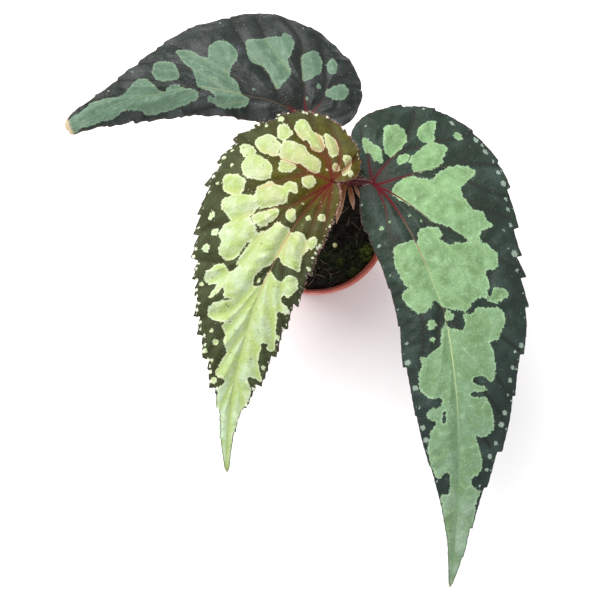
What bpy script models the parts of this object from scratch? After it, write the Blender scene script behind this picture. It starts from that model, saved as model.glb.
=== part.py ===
"""Potted begonia: three large lopsided leaves on a short cane, in a small round nursery pot.

Metres, +Z up. The origin is on the pot's axis, at the level of the surface that it stands on.
Each leaf is drawn in plan from its midrib: a point of the blade is a distance along the
midrib from the petiole and a distance out to the side, and its height is a formula of the two.
"""

import math

import bmesh
import bpy
import numpy as np

MM = 0.001
GAP = 0.35 * MM

# Pot
RIM_RADIUS = 42.5 * MM
RIM_BAND = 8 * MM
RIM_STEP = 1.2 * MM
POT_HEIGHT = 75 * MM
FOOT_RADIUS = 29.5 * MM
FOOT_WIDTH = 3.2 * MM
FOOT_LIFT = 2.4 * MM
FOOT_DRAFT = 0.4 * MM
PAD_RADIUS = 13 * MM
WALL = 1.3 * MM
EDGE_ROUND = 0.4 * MM
FLOOR_FILLET = 1.5 * MM
DRAINS = 8
DRAIN_RADIUS = 3.2 * MM
DRAIN_CIRCLE = 20 * MM
DRAIN_SEGMENTS = 12
DRILL_LENGTH = 6 * MM
POT_SEGMENTS = 48

# Soil
SOIL_LEVEL = 65 * MM
SOIL_RINGS = 7
SOIL_SEGMENTS = 30
SOIL_SHOULDER = 3 * MM
SOIL_CHAMFER = 1.2 * MM
SOIL_BUMP = 0.6 * MM
# Moss cushions on the soil: place in plan, radius and height, in millimetres
MOSS_CUSHIONS = (
    ((27, -16), 9, 2.2),
    ((15, -22), 8, 1.6),
    ((-20, -22), 9, 1.8),
    ((-24, 14), 10, 2.0),
    ((14, 27), 8, 1.6),
)
GRANULE_RADIUS = 1.4 * MM
GRANULE_PLACE = (11.7, -12.6)
GRANULE_SIDES = 10

# Cane: height above the surface, lean in plan, radius, in millimetres
CANE = (
    ((3, 6, 50), 2.7),
    ((3, 6, 68), 2.7),
    ((4.5, 7, 77), 2.5),
    ((6.5, 8.2, 84), 3.2),
    ((8.7, 9.3, 92), 2.4),
    ((11.5, 10.5, 100), 3.0),
    ((14, 11.4, 107), 2.3),
    ((16.2, 12.2, 113), 2.7),
    ((17, 12.5, 117), 1.5),
)
CANE_HOLE_FLOOR = 49 * MM
CANE_HOLE_SEGMENTS = 16
CANE_CLEARANCE = 0.5 * MM
# Petioles: points from inside the cane to just under the blade, and the radius at each end
PETIOLES = {
    "back": {
        "points": [(6.5, 8.2, 84), (3.5, 16, 94), (-2, 30, 110), (-4.8, 40.5, 120), (-5.3, 43.5, 123.6)],
        "radii": (1.9, 1.4),
    },
    "right": {
        "points": [(11.5, 10.5, 100), (15, 11.8, 109), (19.5, 11.3, 118.5), (26, 8.4, 127),
                   (29.6, 6.9, 129.3)],
        "radii": (2.1, 1.3),
    },
    "centre": {
        "points": [(16.2, 12.2, 113), (17.2, 12, 122), (15.5, 9.6, 134), (11, 5, 145),
                   (8.4, 2.8, 148.8)],
        "radii": (1.9, 1.4),
    },
}
TUBE_BEVEL = 3
TUBE_STEP = 3.2

# Leaves. The plan of the midrib runs from the petiole to the tip; "rise" is the midrib's height
# over the petiole's end along it. A side's margin runs from the notch at the petiole round to the
# tip, as (distance along the midrib, distance out from it). "outer" is the broad side.
BLADE = 0.8 * MM
MIDRIB = 2.2 * MM
CHANNEL_WIDTH = 7
RIB_SLANT = 0.85
RIB_BOW = 0.10
FRAME_REACH = 10
NOTCH_SHARE = 0.45
NOTCH_LEAST = 0.6
NOTCH_MOST = 3.0
CELLS_ACROSS = 5
WELD = 0.02 * MM
LEAVES = {
    "leaf_right": {
        "petiole_end": 132,
        "midrib": [(30, 6.5), (38, -3), (50, -24), (59, -44), (68, -72), (74, -125), (75, -158),
                   (73, -205)],
        "rise": [(0, 0), (30, 4.5), (60, 4), (90, 0), (130, -11), (170, -28), (200, -43), (222, -56)],
        "stations": 44,
        "fans": (26, 9),
        "outer_turn": 1,
        "outer": [(-1, 0.5), (-7.5, -2.5), (-14, -0.5), (-21, 3.5), (-26, 8), (-29, 13), (-30, 18),
                  (-29.5, 24), (-27, 31), (-20.7, 42.8), (-9.8, 52.8), (5.3, 59.4), (22.8, 62),
                  (38.3, 57.4), (54, 50.5), (72, 44.8), (92, 40.7), (112, 33.2), (134, 27.2),
                  (156, 18.2), (180, 9.7), (204, 4.9), (222, 0)],
        "outer_teeth": [(64, 1.5), (82, 1.4), (101, 1.6), (115, 1.3), (128, 2.1), (146, 2.8), (159, 3.2),
                        (168, 3.8), (180, 2.5), (201, 2.0), (222, 1.5), (250, 2.6), (269, 1.6),
                        (291, 1.4), (307, 0.6)],
        "outer_veins": (0, 2, 4, 5, 7, 8, 9, 10, 11, 12),
        "outer_fall": (0.05, 0.0022),
        "inner": [(-0.5, 1.5), (-2.5, 5.5), (-0.5, 8.5), (3, 11), (7.5, 14.3), (13, 17), (20, 18.2),
                  (32, 20), (45, 20.5), (65, 22.2), (92, 24), (114, 22.4), (140, 19), (160, 14),
                  (178, 8.8), (200, 3.4), (222, 0)],
        "inner_teeth": [(31, 1.5), (67, 1.2), (90, 1.3), (114, 2.0), (141, 0.8), (169, 0.6)],
        "inner_veins": (0, 1, 2, 3, 4, 5),
        "inner_fall": (0.10, 0.010),
        "channel": 3.0,
        "quilt": 1.5,
    },
    "leaf_centre": {
        "petiole_end": 150,
        "midrib": [(8, 2.5), (-5, -13), (-18, -32), (-30, -59), (-37, -79), (-42, -97), (-46, -124),
                   (-47, -144)],
        "rise": [(0, 0), (20, 4.5), (45, 4), (75, -3), (105, -16), (135, -31), (160, -43)],
        "stations": 36,
        "fans": (30, 9),
        "outer_turn": -1,
        "outer": [(-1, -1.5), (-3, -4), (-5.5, -6), (-9, -7.2), (-12, -6.8), (-15.5, -5), (-19, -1.5),
                  (-21, 2.5), (-22.8, 8.5), (-24, 13.4), (-24.7, 19), (-24.7, 24), (-23.2, 28.5),
                  (-20.6, 34), (-17, 39.5), (-12, 43), (-6, 45.5), (0, 49.5), (7, 52.3), (18, 52.2),
                  (32, 49.4), (47.3, 44.4), (63, 37), (79.3, 30), (95, 22.2), (109, 14), (121.3, 8),
                  (133.5, 4.7), (148, 2.5), (160, 0)],
        "outer_teeth": [(43, 1.2), (54, 1.2), (65, 1.2), (76, 1.6), (87, 2.0), (99, 2.8), (111, 3.0),
                        (121, 3.0), (133, 1.6), (141, 2.6), (152, 4.0), (162, 3.0), (170, 2.1),
                        (179, 2.9), (188, 3.0), (199, 2.9), (213, 3.0), (224, 1.8), (239, 0.8)],
        "outer_veins": (0, 2, 4, 6, 7, 9, 10, 13, 15, 16),
        "outer_fall": (0.04, 0.0042),
        "inner": [(-0.5, 2.9), (1.5, 5.8), (5.7, 9.4), (9.7, 11.3), (14, 12.8), (19, 14.2), (27, 15.8),
                  (38, 17.1), (54.7, 17.9), (68.5, 17.3), (82.5, 16.7), (96.8, 15.2), (108, 13.3),
                  (119, 9.2), (132, 4.4), (146, 2), (160, 0)],
        "inner_teeth": [(12, 1.0), (24, 1.4), (36, 1.6), (52, 2.9), (70, 3.4), (84, 2.6), (99, 3.0),
                        (117, 2.4), (131, 1.8), (145, 0.8)],
        "inner_veins": (1, 3, 4, 5, 6, 7, 8),
        "inner_fall": (0.05, 0.012),
        "channel": 3.4,
        "quilt": 1.8,
    },
    "leaf_back": {
        "petiole_end": 126,
        "midrib": [(-5, 44), (-19, 51), (-36, 56), (-64, 60), (-83, 59), (-100, 57), (-116, 52),
                   (-137, 43.4)],
        "rise": [(0, 0), (20, 4), (50, 4.5), (80, 0.5), (110, -8), (139, -19)],
        "stations": 30,
        "fans": (24, 8),
        "outer_turn": -1,
        "outer": [(-3, -1), (-12, 0), (-19.5, 6.5), (-21.5, 17), (-18.5, 29), (-10, 38.3), (0, 44),
                  (11.7, 48), (24, 50.7), (36.6, 50.7), (50, 44.9), (64, 37), (77.3, 28.9), (90.6, 20),
                  (103.5, 12.6), (116, 9), (128.4, 7.8), (136, 5.8), (139.5, 3), (139, 0)],
        "outer_teeth": [(42, 0.5), (66, 0.8), (85, 1.1), (99, 1.0), (119, 1.2), (139, 1.0), (152, 0.8),
                        (169, 0.6), (181, 1.2), (195, 1.0)],
        "outer_veins": (0, 1, 2, 3, 4, 5, 6, 8),
        "outer_fall": (0.06, 0.0040),
        "inner": [(-2, 4), (3, 7.5), (14, 9.4), (30, 10.6), (50, 10.9), (72, 11.5), (92, 10.7),
                  (108, 8.8), (122, 5.5), (132, 3.5), (138, 2), (139, 0)],
        "inner_teeth": [(22, 0.6), (41, 0.6), (66, 0.5), (76, 0.8), (104, 0.9), (120, 0.6)],
        "inner_veins": (0, 1, 3, 4),
        "inner_fall": (0.75, 0.030),
        "channel": 2.6,
        "quilt": 1.6,
    },
}

# Stipules: the papery sheaths at the cane's top. Root, tip and half width, in millimetres
STIPULES = {
    "stipule_left": ((15.3, 10.1, 117), (11.4, -9.5, 108), 2.5),
    "stipule_middle": ((18.5, 9.4, 114.2), (20.9, -1, 105.5), 1.8),
    "stipule_right": ((21, 9.7, 116.3), (23.9, 4.4, 111), 1.2),
}
STIPULE_THICKNESS = 0.6 * MM


def new_material(name, colour, roughness, metallic=0.0):
    """A plain Principled material."""
    material = bpy.data.materials.new(name)
    material.use_nodes = True
    shader = material.node_tree.nodes["Principled BSDF"]
    shader.inputs["Base Color"].default_value = (*colour, 1)
    shader.inputs["Roughness"].default_value = roughness
    shader.inputs["Metallic"].default_value = metallic
    return material


def new_object(name, mesh, collection, material=None):
    """An object holding this mesh, in this collection."""
    thing = bpy.data.objects.new(name, mesh)
    collection.objects.link(thing)
    if material:
        mesh.materials.append(material)
    return thing


def mesh_from(name, build):
    """A mesh filled in by build, which is given an empty bmesh."""
    shape = bmesh.new()
    build(shape)
    mesh = bpy.data.meshes.new(name)
    shape.to_mesh(mesh)
    shape.free()
    return mesh


def smooth_line(points, count=1200):
    """Points closely spaced on a Catmull-Rom curve through the given ones, and their distances along it."""
    given = np.array(points, float)
    ends = np.vstack([2 * given[0] - given[1], given, 2 * given[-1] - given[-2]])
    spot = np.linspace(0, len(given) - 1, count)
    index = np.minimum(spot.astype(int), len(given) - 2)
    u = (spot - index)[:, None]
    a, b, c, d = (ends[index + k] for k in range(4))
    line = 0.5 * (2 * b + (c - a) * u + (2 * a - 5 * b + 4 * c - d) * u**2 + (3 * b - a - 3 * c + d) * u**3)
    steps = np.linalg.norm(np.diff(line, axis=0), axis=1)
    return line, np.concatenate([[0], np.cumsum(steps)])


def read_line(line, along, at):
    """The points of a line at these distances along it."""
    return np.stack([np.interp(at, along, line[:, k]) for k in range(line.shape[1])], axis=-1)


def blade_height(leaf, side, t, d, across, phase):
    """Height over the petiole's end, in millimetres.

    The midrib's own rise, a channel along the midrib, the fall of the blade to its margin, and
    the puckers, which stand up between one vein and the next: phase counts the veins.
    """
    line, _ = smooth_line(leaf["rise"])
    out = np.where(t < 0, np.hypot(t, d), np.abs(d))
    slope, bend = leaf[side + "_fall"]
    pucker = np.sin(np.pi * phase) ** 2 * np.sin(np.pi * np.clip(across, 0, 1) ** 0.8 * 0.86)
    return (
        np.interp(t, line[:, 0], line[:, 1])
        + leaf["channel"] * (1 - np.exp(-out / CHANNEL_WIDTH))
        - slope * out
        - bend * out**2
        + leaf["quilt"] * pucker
    )


def blade_points(leaf, side, t, d, across, phase):
    """Places in space, in metres, of the points t along the midrib and d out from it."""
    line, along = smooth_line(leaf["midrib"])
    length = leaf["outer"][-1][0]
    turn = leaf["outer_turn"] * (1 if side == "outer" else -1)
    inside = np.clip(t, 0, length) / length * along[-1]
    ahead = read_line(line, along, np.minimum(inside + FRAME_REACH, along[-1]))
    behind = read_line(line, along, np.maximum(inside - FRAME_REACH, 0))
    tangent = (ahead - behind) / np.linalg.norm(ahead - behind, axis=-1, keepdims=True)
    left = np.stack([-tangent[..., 1], tangent[..., 0]], axis=-1)
    beyond = (t - np.clip(t, 0, length))[..., None]
    plan = read_line(line, along, inside) + beyond * tangent + turn * d[..., None] * left
    height = leaf["petiole_end"] + blade_height(leaf, side, t, d, across, phase)
    return np.concatenate([plan, height[..., None]], axis=-1) * MM


def margin_ribs(leaf, side, stations, fan):
    """Ribs of one side: starts on the midrib, ends on the margin, tooth depths and vein phases.

    Ribs slant forwards, and those that would start behind the petiole fan out from it instead.
    The ends are shifted so that a rib ends in each tooth's tip and the next one just past it.
    """
    line, along = smooth_line(leaf[side])
    slanted = np.maximum.accumulate(line[:, 0] - RIB_SLANT * np.abs(line[:, 1]))
    last_fan = along[np.searchsorted(slanted, 0.0)]
    rising = slanted + np.linspace(0, 1e-6, len(slanted))
    starts = np.concatenate([np.zeros(fan), stations])
    ends = np.concatenate([
        np.linspace(0, last_fan, fan, endpoint=False),
        np.interp(stations, rising, along),
    ])
    ends[-1] = along[-1]
    tips, depths = np.array(leaf[side + "_teeth"], float).T
    spots, places, heights = [0], [0.0], [0.0]
    for tip, depth in zip(tips, depths):
        k = int(np.clip(np.argmin(np.abs(ends - tip)), spots[-1] + 1, len(ends) - 3))
        spots += [k, k + 1]
        places += [tip, tip + min(NOTCH_SHARE * depth + NOTCH_LEAST, NOTCH_MOST)]
        heights += [depth, 0.0]
    spots.append(len(ends) - 1)
    places.append(along[-1])
    heights.append(0.0)
    index = np.arange(len(ends))
    ends = np.interp(index, spots, places)
    depth = np.interp(index, spots, heights)
    veins = np.concatenate([[0.0], tips[list(leaf[side + "_veins"])], [along[-1]]])
    return starts, read_line(line, along, ends), depth, np.interp(ends, veins, np.arange(len(veins)))


def blade_side(leaf, side, stations):
    """A grid of points over one side of the blade, the triangles between them, and each point's thickness."""
    fan = leaf["fans"][side != "outer"]
    starts, ends, depth, phase = margin_ribs(leaf, side, stations, fan)
    start = np.stack([starts, np.zeros(len(starts))], axis=1)
    way = ends - start
    reach = np.maximum(np.linalg.norm(way, axis=1, keepdims=True), 1e-9)
    ends = ends + way / reach * depth[:, None]
    across = (np.arange(CELLS_ACROSS + 1) / CELLS_ACROSS)[None, :, None]
    bow = np.stack([-way[:, 1], way[:, 0]], axis=1) * RIB_BOW
    flat = start[:, None] + across * (ends - start)[:, None] - 4 * across * (1 - across) * bow[:, None]
    across, phase = np.broadcast_arrays(across[..., 0], phase[:, None])
    points = blade_points(leaf, side, flat[..., 0], flat[..., 1], across, phase)
    along = np.clip(starts / stations[-1], 0, 1)[:, None]
    on_vein = np.abs(phase - np.round(phase)) < 1e-6
    rib = np.where(across == 0, 1.0, np.where(on_vein, 0.5 * (1 - across), 0.0)) * (1 - along)
    thickness = BLADE + (MIDRIB - BLADE) * rib
    rows, columns = points.shape[:2]
    number = np.arange(rows * columns).reshape(rows, columns)
    a, b, c, e = number[:-1, :-1], number[1:, :-1], number[1:, 1:], number[:-1, 1:]
    faces = np.concatenate([np.stack([a, b, c], -1).reshape(-1, 3), np.stack([a, c, e], -1).reshape(-1, 3)])
    if leaf["outer_turn"] * (1 if side == "outer" else -1) > 0:
        faces = faces[:, ::-1]
    return points.reshape(-1, 3), faces, thickness.reshape(-1)


def leaf_blade(name, collection, material):
    """A thin waved blade: both sides of the midrib, welded along it, and thicker beneath along the veins."""
    leaf = LEAVES[name]
    stations = np.linspace(0, leaf["outer"][-1][0], leaf["stations"])
    outer, outer_faces, outer_thickness = blade_side(leaf, "outer", stations)
    inner, inner_faces, inner_thickness = blade_side(leaf, "inner", stations)
    mesh = bpy.data.meshes.new(name)
    faces = np.concatenate([outer_faces, inner_faces + len(outer)])
    mesh.from_pydata(np.concatenate([outer, inner]).tolist(), [], faces.tolist())
    blade = new_object(name, mesh, collection, material)
    thick = blade.vertex_groups.new(name="thick")
    for k, thickness in enumerate(np.concatenate([outer_thickness, inner_thickness])):
        thick.add([k], thickness / MIDRIB, "REPLACE")
    shape = bmesh.new()
    shape.from_mesh(mesh)
    bmesh.ops.remove_doubles(shape, verts=shape.verts, dist=WELD)
    shape.to_mesh(mesh)
    shape.free()
    mesh.shade_smooth()
    thicken = blade.modifiers.new("Thickness", "SOLIDIFY")
    thicken.thickness = MIDRIB
    thicken.offset = -1
    thicken.vertex_group = "thick"
    return blade


def turned(name, profile, segments, collection, material):
    """A profile in the XZ plane, from the axis round to the axis, turned about Z."""

    def build(shape):
        verts = [shape.verts.new((x, 0, z)) for x, z in profile]
        for a, b in zip(verts, verts[1:]):
            shape.edges.new((a, b))

    thing = new_object(name, mesh_from(name, build), collection, material)
    screw = thing.modifiers.new("Turn", "SCREW")
    screw.axis = "Z"
    screw.steps = screw.render_steps = segments
    screw.use_merge_vertices = True
    screw.merge_threshold = WELD
    screw.use_smooth_shade = True
    return thing


def add_cylinder(shape, segments, radius, length, centre):
    """An upright closed cylinder in this bmesh."""
    made = bmesh.ops.create_cone(
        shape, cap_ends=True, segments=segments, radius1=radius, radius2=radius, depth=length
    )
    bmesh.ops.translate(shape, verts=made["verts"], vec=centre)


def drill(thing, name, build, cutters):
    """Cuts what build makes out of the thing."""
    cutter = new_object(name, mesh_from(name, build), cutters)
    cutter.hide_render = True
    cutter.display_type = "WIRE"
    cut = thing.modifiers.new(name, "BOOLEAN")
    cut.operation = "DIFFERENCE"
    cut.object = cutter


def pot_inner_radius(z):
    """The tapered wall's inner radius at this height."""
    share = (z - FOOT_LIFT) / (POT_HEIGHT - FOOT_LIFT)
    return FOOT_RADIUS + (RIM_RADIUS - RIM_STEP - FOOT_RADIUS) * share - WALL


def pot(collection, cutters, material):
    """A tapered wall with a band at its rim, on a floor that stands on a ring and a pad, drained between."""
    floor_top = FOOT_LIFT + WALL
    band_bottom = POT_HEIGHT - RIM_BAND
    outer_at_band = pot_inner_radius(band_bottom) + WALL
    foot_inner = FOOT_RADIUS - FOOT_WIDTH
    inside = [
        (0, floor_top),
        (pot_inner_radius(floor_top) - FLOOR_FILLET, floor_top),
        (pot_inner_radius(floor_top + FLOOR_FILLET), floor_top + FLOOR_FILLET),
        (pot_inner_radius(band_bottom), band_bottom),
        (RIM_RADIUS - WALL, POT_HEIGHT - EDGE_ROUND),
    ]
    outside = [
        (RIM_RADIUS - WALL + EDGE_ROUND, POT_HEIGHT),
        (RIM_RADIUS - EDGE_ROUND, POT_HEIGHT),
        (RIM_RADIUS, POT_HEIGHT - EDGE_ROUND),
        (RIM_RADIUS - FOOT_DRAFT, band_bottom),
        (outer_at_band, band_bottom - EDGE_ROUND),
        (FOOT_RADIUS + FOOT_DRAFT, FOOT_LIFT),
        (FOOT_RADIUS, 0),
        (foot_inner, 0),
        (foot_inner - FOOT_DRAFT, FOOT_LIFT),
        (PAD_RADIUS + FOOT_DRAFT, FOOT_LIFT),
        (PAD_RADIUS, 0),
        (0, 0),
    ]
    thing = turned("pot", inside + outside, POT_SEGMENTS, collection, material)

    def build(shape):
        for k in range(DRAINS):
            angle = 2 * math.pi * (k + 0.5) / DRAINS
            place = (DRAIN_CIRCLE * math.cos(angle), DRAIN_CIRCLE * math.sin(angle), FOOT_LIFT)
            add_cylinder(shape, DRAIN_SEGMENTS, DRAIN_RADIUS, DRILL_LENGTH, place)

    drill(thing, "drain_drill", build, cutters)
    return thing


def soil_height(x, y):
    """Crumbs as crossing waves, sunk a little at the wall, with the moss cushions raised on top."""
    x, y = x / MM, y / MM
    waves = np.sin(0.55 * x + 0.9) * np.sin(0.48 * y) + 0.6 * np.sin(0.31 * x - 0.42 * y + 2.1)
    height = SOIL_LEVEL + SOIL_BUMP * waves
    for (cx, cy), radius, rise in MOSS_CUSHIONS:
        height = height + rise * MM * np.exp(-((x - cx) ** 2 + (y - cy) ** 2) / (0.5 * radius**2))
    return height


def soil(collection, cutters, material):
    """The root ball and its soil as one body, with a plain hole for the cane."""
    bottom = FOOT_LIFT + WALL + GAP
    top_radius = pot_inner_radius(SOIL_LEVEL - SOIL_SHOULDER) - GAP
    bottom_radius = pot_inner_radius(bottom) - FLOOR_FILLET - 2 * GAP

    def build(shape):
        angles = [2 * math.pi * k / SOIL_SEGMENTS for k in range(SOIL_SEGMENTS)]

        def ring(radius, height=None):
            spots = [(radius * math.cos(a), radius * math.sin(a)) for a in angles]
            levels = [soil_height(x, y) if height is None else height for x, y in spots]
            return [shape.verts.new((x, y, z)) for (x, y), z in zip(spots, levels)]

        middle = shape.verts.new((0, 0, soil_height(0, 0)))
        rings = [ring(top_radius * k / SOIL_RINGS) for k in range(1, SOIL_RINGS + 1)]
        rings.append(ring(bottom_radius + SOIL_CHAMFER, bottom + SOIL_CHAMFER))
        rings.append(ring(bottom_radius, bottom))
        for k in range(SOIL_SEGMENTS):
            n = (k + 1) % SOIL_SEGMENTS
            shape.faces.new((middle, rings[0][k], rings[0][n]))
            for inner, outer in zip(rings, rings[1:]):
                shape.faces.new((inner[k], outer[k], outer[n]))
                shape.faces.new((inner[k], outer[n], inner[n]))
        shape.faces.new(rings[-1][::-1])

    def hole(shape):
        (x, y, _), radius = CANE[0]
        top = SOIL_LEVEL + SOIL_SHOULDER
        centre = (x * MM, y * MM, (top + CANE_HOLE_FLOOR) / 2)
        add_cylinder(shape, CANE_HOLE_SEGMENTS, radius * MM + CANE_CLEARANCE, top - CANE_HOLE_FLOOR, centre)

    thing = new_object("soil", mesh_from("soil", build), collection, material)
    drill(thing, "cane_drill", hole, cutters)
    return thing


def tube(name, points, radii):
    """A smooth tube through these points, its radius changing from each to the next, as a closed mesh."""
    curve = bpy.data.curves.new(name, "CURVE")
    curve.dimensions = "3D"
    curve.bevel_depth = MM
    curve.bevel_resolution = TUBE_BEVEL
    curve.use_fill_caps = True
    line, along = smooth_line(np.column_stack([np.array(points, float), radii]), 400)
    spots = read_line(line, along, np.linspace(0, along[-1], int(along[-1] / TUBE_STEP)))
    spline = curve.splines.new("POLY")
    spline.points.add(len(spots) - 1)
    for point, (x, y, z, radius) in zip(spline.points, spots):
        point.co = (x * MM, y * MM, z * MM, 1)
        point.radius = radius
    guide = bpy.data.objects.new(name, curve)
    bpy.context.scene.collection.objects.link(guide)
    bpy.context.view_layer.update()
    graph = bpy.context.evaluated_depsgraph_get()
    mesh = bpy.data.meshes.new_from_object(guide.evaluated_get(graph))
    bpy.data.objects.remove(guide)
    shape = bmesh.new()
    shape.from_mesh(mesh)
    bmesh.ops.remove_doubles(shape, verts=shape.verts, dist=WELD)
    shape.to_mesh(mesh)
    shape.free()
    return mesh


def stem(collection, material):
    """The cane with the three petioles that grow from its joints, as one body."""
    cane = new_object("stem", tube("stem", [p for p, _ in CANE], [r for _, r in CANE]), collection, material)
    limbs = bpy.data.collections.new("limbs")
    bpy.context.scene.collection.children.link(limbs)
    for name, petiole in PETIOLES.items():
        radii = np.linspace(*petiole["radii"], len(petiole["points"]))
        new_object("petiole_" + name, tube("petiole_" + name, petiole["points"], radii), limbs)
    join = cane.modifiers.new("Petioles", "BOOLEAN")
    join.operation = "UNION"
    join.operand_type = "COLLECTION"
    join.collection = limbs
    bpy.context.view_layer.update()
    graph = bpy.context.evaluated_depsgraph_get()
    joined = bpy.data.meshes.new_from_object(cane.evaluated_get(graph))
    cane.modifiers.clear()
    cane.data = joined
    for limb in list(limbs.objects):
        bpy.data.objects.remove(limb)
    bpy.data.collections.remove(limbs)
    joined.set_sharp_from_angle(angle=math.radians(50))
    return cane


def stipule(name, collection, material):
    """A pointed papery sheath, hollowed along its middle and curling down to its tip."""
    root, tip, half_width = STIPULES[name]
    length = np.linalg.norm(np.subtract(tip, root))
    way = np.subtract(tip, root) / length
    side = np.cross(way, (0, 0, 1))
    side /= np.linalg.norm(side)
    up = np.cross(side, way)
    u, v = np.meshgrid(np.linspace(0, 1, 7), np.linspace(-1, 1, 5), indexing="ij")
    width = half_width * (0.55 + 1.1 * u - 1.5 * u**2)
    lift = 0.35 * width * v**2 + 0.25 * length * u * (1 - u)
    points = (
        np.array(root)
        + (length * u)[..., None] * way
        + (width * v)[..., None] * side
        + lift[..., None] * up
    ) * MM
    mesh = bpy.data.meshes.new(name)
    number = np.arange(u.size).reshape(u.shape)
    a, b, c, e = number[:-1, :-1], number[1:, :-1], number[1:, 1:], number[:-1, 1:]
    faces = np.concatenate([np.stack([a, b, c], -1).reshape(-1, 3), np.stack([a, c, e], -1).reshape(-1, 3)])
    mesh.from_pydata(points.reshape(-1, 3).tolist(), [], faces.tolist())
    thing = new_object(name, mesh, collection, material)
    mesh.shade_smooth()
    thicken = thing.modifiers.new("Thickness", "SOLIDIFY")
    thicken.thickness = STIPULE_THICKNESS
    thicken.offset = 0
    return thing


def granule(collection, material):
    """A round grain of slow-release fertiliser lying on the soil."""
    x, y = GRANULE_PLACE
    steps = (-GRANULE_RADIUS, 0, GRANULE_RADIUS)
    nearby = [soil_height(x * MM + a, y * MM + b) for a in steps for b in steps]

    def build(shape):
        bmesh.ops.create_uvsphere(
            shape, u_segments=GRANULE_SIDES, v_segments=GRANULE_SIDES // 2, radius=GRANULE_RADIUS
        )

    thing = new_object("fertiliser_granule", mesh_from("fertiliser_granule", build), collection, material)
    thing.location = (x * MM, y * MM, max(nearby) + GRANULE_RADIUS + GAP)
    thing.data.shade_smooth()
    return thing


def main():
    for thing in list(bpy.data.objects):
        bpy.data.objects.remove(thing)
    plant = bpy.data.collections.new("potted_begonia")
    cutters = bpy.data.collections.new("cutters")
    bpy.context.scene.collection.children.link(plant)
    bpy.context.scene.collection.children.link(cutters)
    pot(plant, cutters, new_material("terracotta_plastic", (0.52, 0.16, 0.11), 0.45))
    soil(plant, cutters, new_material("soil", (0.03, 0.024, 0.018), 0.95))
    granule(plant, new_material("granule", (0.60, 0.55, 0.30), 0.5))
    stem(plant, new_material("red_stem", (0.20, 0.01, 0.02), 0.45))
    leaf_blade("leaf_right", plant, new_material("dark_green_leaf", (0.04, 0.075, 0.055), 0.4))
    leaf_blade("leaf_centre", plant, new_material("young_leaf", (0.45, 0.60, 0.22), 0.4))
    leaf_blade("leaf_back", plant, new_material("slate_green_leaf", (0.05, 0.065, 0.06), 0.4))
    paper = new_material("stipule_paper", (0.30, 0.16, 0.10), 0.6)
    for name in STIPULES:
        stipule(name, plant, paper)


if __name__ == "__main__":
    main()
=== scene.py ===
"""Looks of the potted begonia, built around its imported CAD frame.

Laid out as an add-on: settings with units, one operator for each group of like pieces, a panel in
the sidebar and a main function that runs the operators in order. Every shape is worked out with
numpy as a function of two parameters or as a profile carried along a path. Lengths in the data
are millimetres; everything in the meshes is in metres, in the frame's own axes.
"""

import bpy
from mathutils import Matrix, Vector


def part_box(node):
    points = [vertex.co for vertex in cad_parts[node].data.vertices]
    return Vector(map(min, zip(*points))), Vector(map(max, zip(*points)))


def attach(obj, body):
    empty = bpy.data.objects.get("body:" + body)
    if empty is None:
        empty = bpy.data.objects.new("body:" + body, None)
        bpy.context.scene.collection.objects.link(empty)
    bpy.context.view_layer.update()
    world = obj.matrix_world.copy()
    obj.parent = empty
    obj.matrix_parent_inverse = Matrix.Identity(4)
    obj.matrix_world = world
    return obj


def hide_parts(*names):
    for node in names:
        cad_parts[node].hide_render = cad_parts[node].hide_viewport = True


bl_info = {
    "name": "Potted Begonia",
    "version": (1, 0, 0),
    "blender": (4, 5, 0),
    "location": "3D View > Sidebar > Begonia",
    "description": "Builds the leaves, cane, sheaths, soil, moss and pot of a begonia around its CAD frame",
    "category": "Object",
}

import math

import bpy
import numpy as np
from bpy.props import FloatProperty, FloatVectorProperty, IntProperty, PointerProperty
from mathutils import Vector

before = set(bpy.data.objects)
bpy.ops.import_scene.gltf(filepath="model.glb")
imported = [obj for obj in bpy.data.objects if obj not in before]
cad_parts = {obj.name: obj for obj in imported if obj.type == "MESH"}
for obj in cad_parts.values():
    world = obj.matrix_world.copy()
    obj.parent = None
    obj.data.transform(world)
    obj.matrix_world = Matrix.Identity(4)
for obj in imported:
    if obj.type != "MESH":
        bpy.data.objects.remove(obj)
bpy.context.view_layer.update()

MM = 0.001

# Pot and soil, as in the part's source, in millimetres
RIM_RADIUS = 42.5
RIM_BAND = 8.0
RIM_STEP = 1.2
POT_HEIGHT = 75.0
FOOT_RADIUS = 29.5
FOOT_WIDTH = 3.2
FOOT_LIFT = 2.4
FOOT_DRAFT = 0.4
PAD_RADIUS = 13.0
WALL = 1.3
LIP_ROUND = 0.55
FLOOR_FILLET = 1.5
DRAINS = 8
DRAIN_RADIUS = 3.2
DRAIN_CIRCLE = 20.0
WALL_SLOPE = (RIM_RADIUS - RIM_STEP - FOOT_RADIUS) / (POT_HEIGHT - FOOT_LIFT)
SOIL_LEVEL = 65.0
SOIL_SHOULDER = 3.0
SOIL_BUMP = 0.6
MOSS_CUSHIONS = (
    ((27, -16), 9, 2.2),
    ((15, -22), 8, 1.6),
    ((-20, -22), 9, 1.8),
    ((-24, 14), 10, 2.0),
    ((14, 27), 8, 1.6),
)

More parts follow.
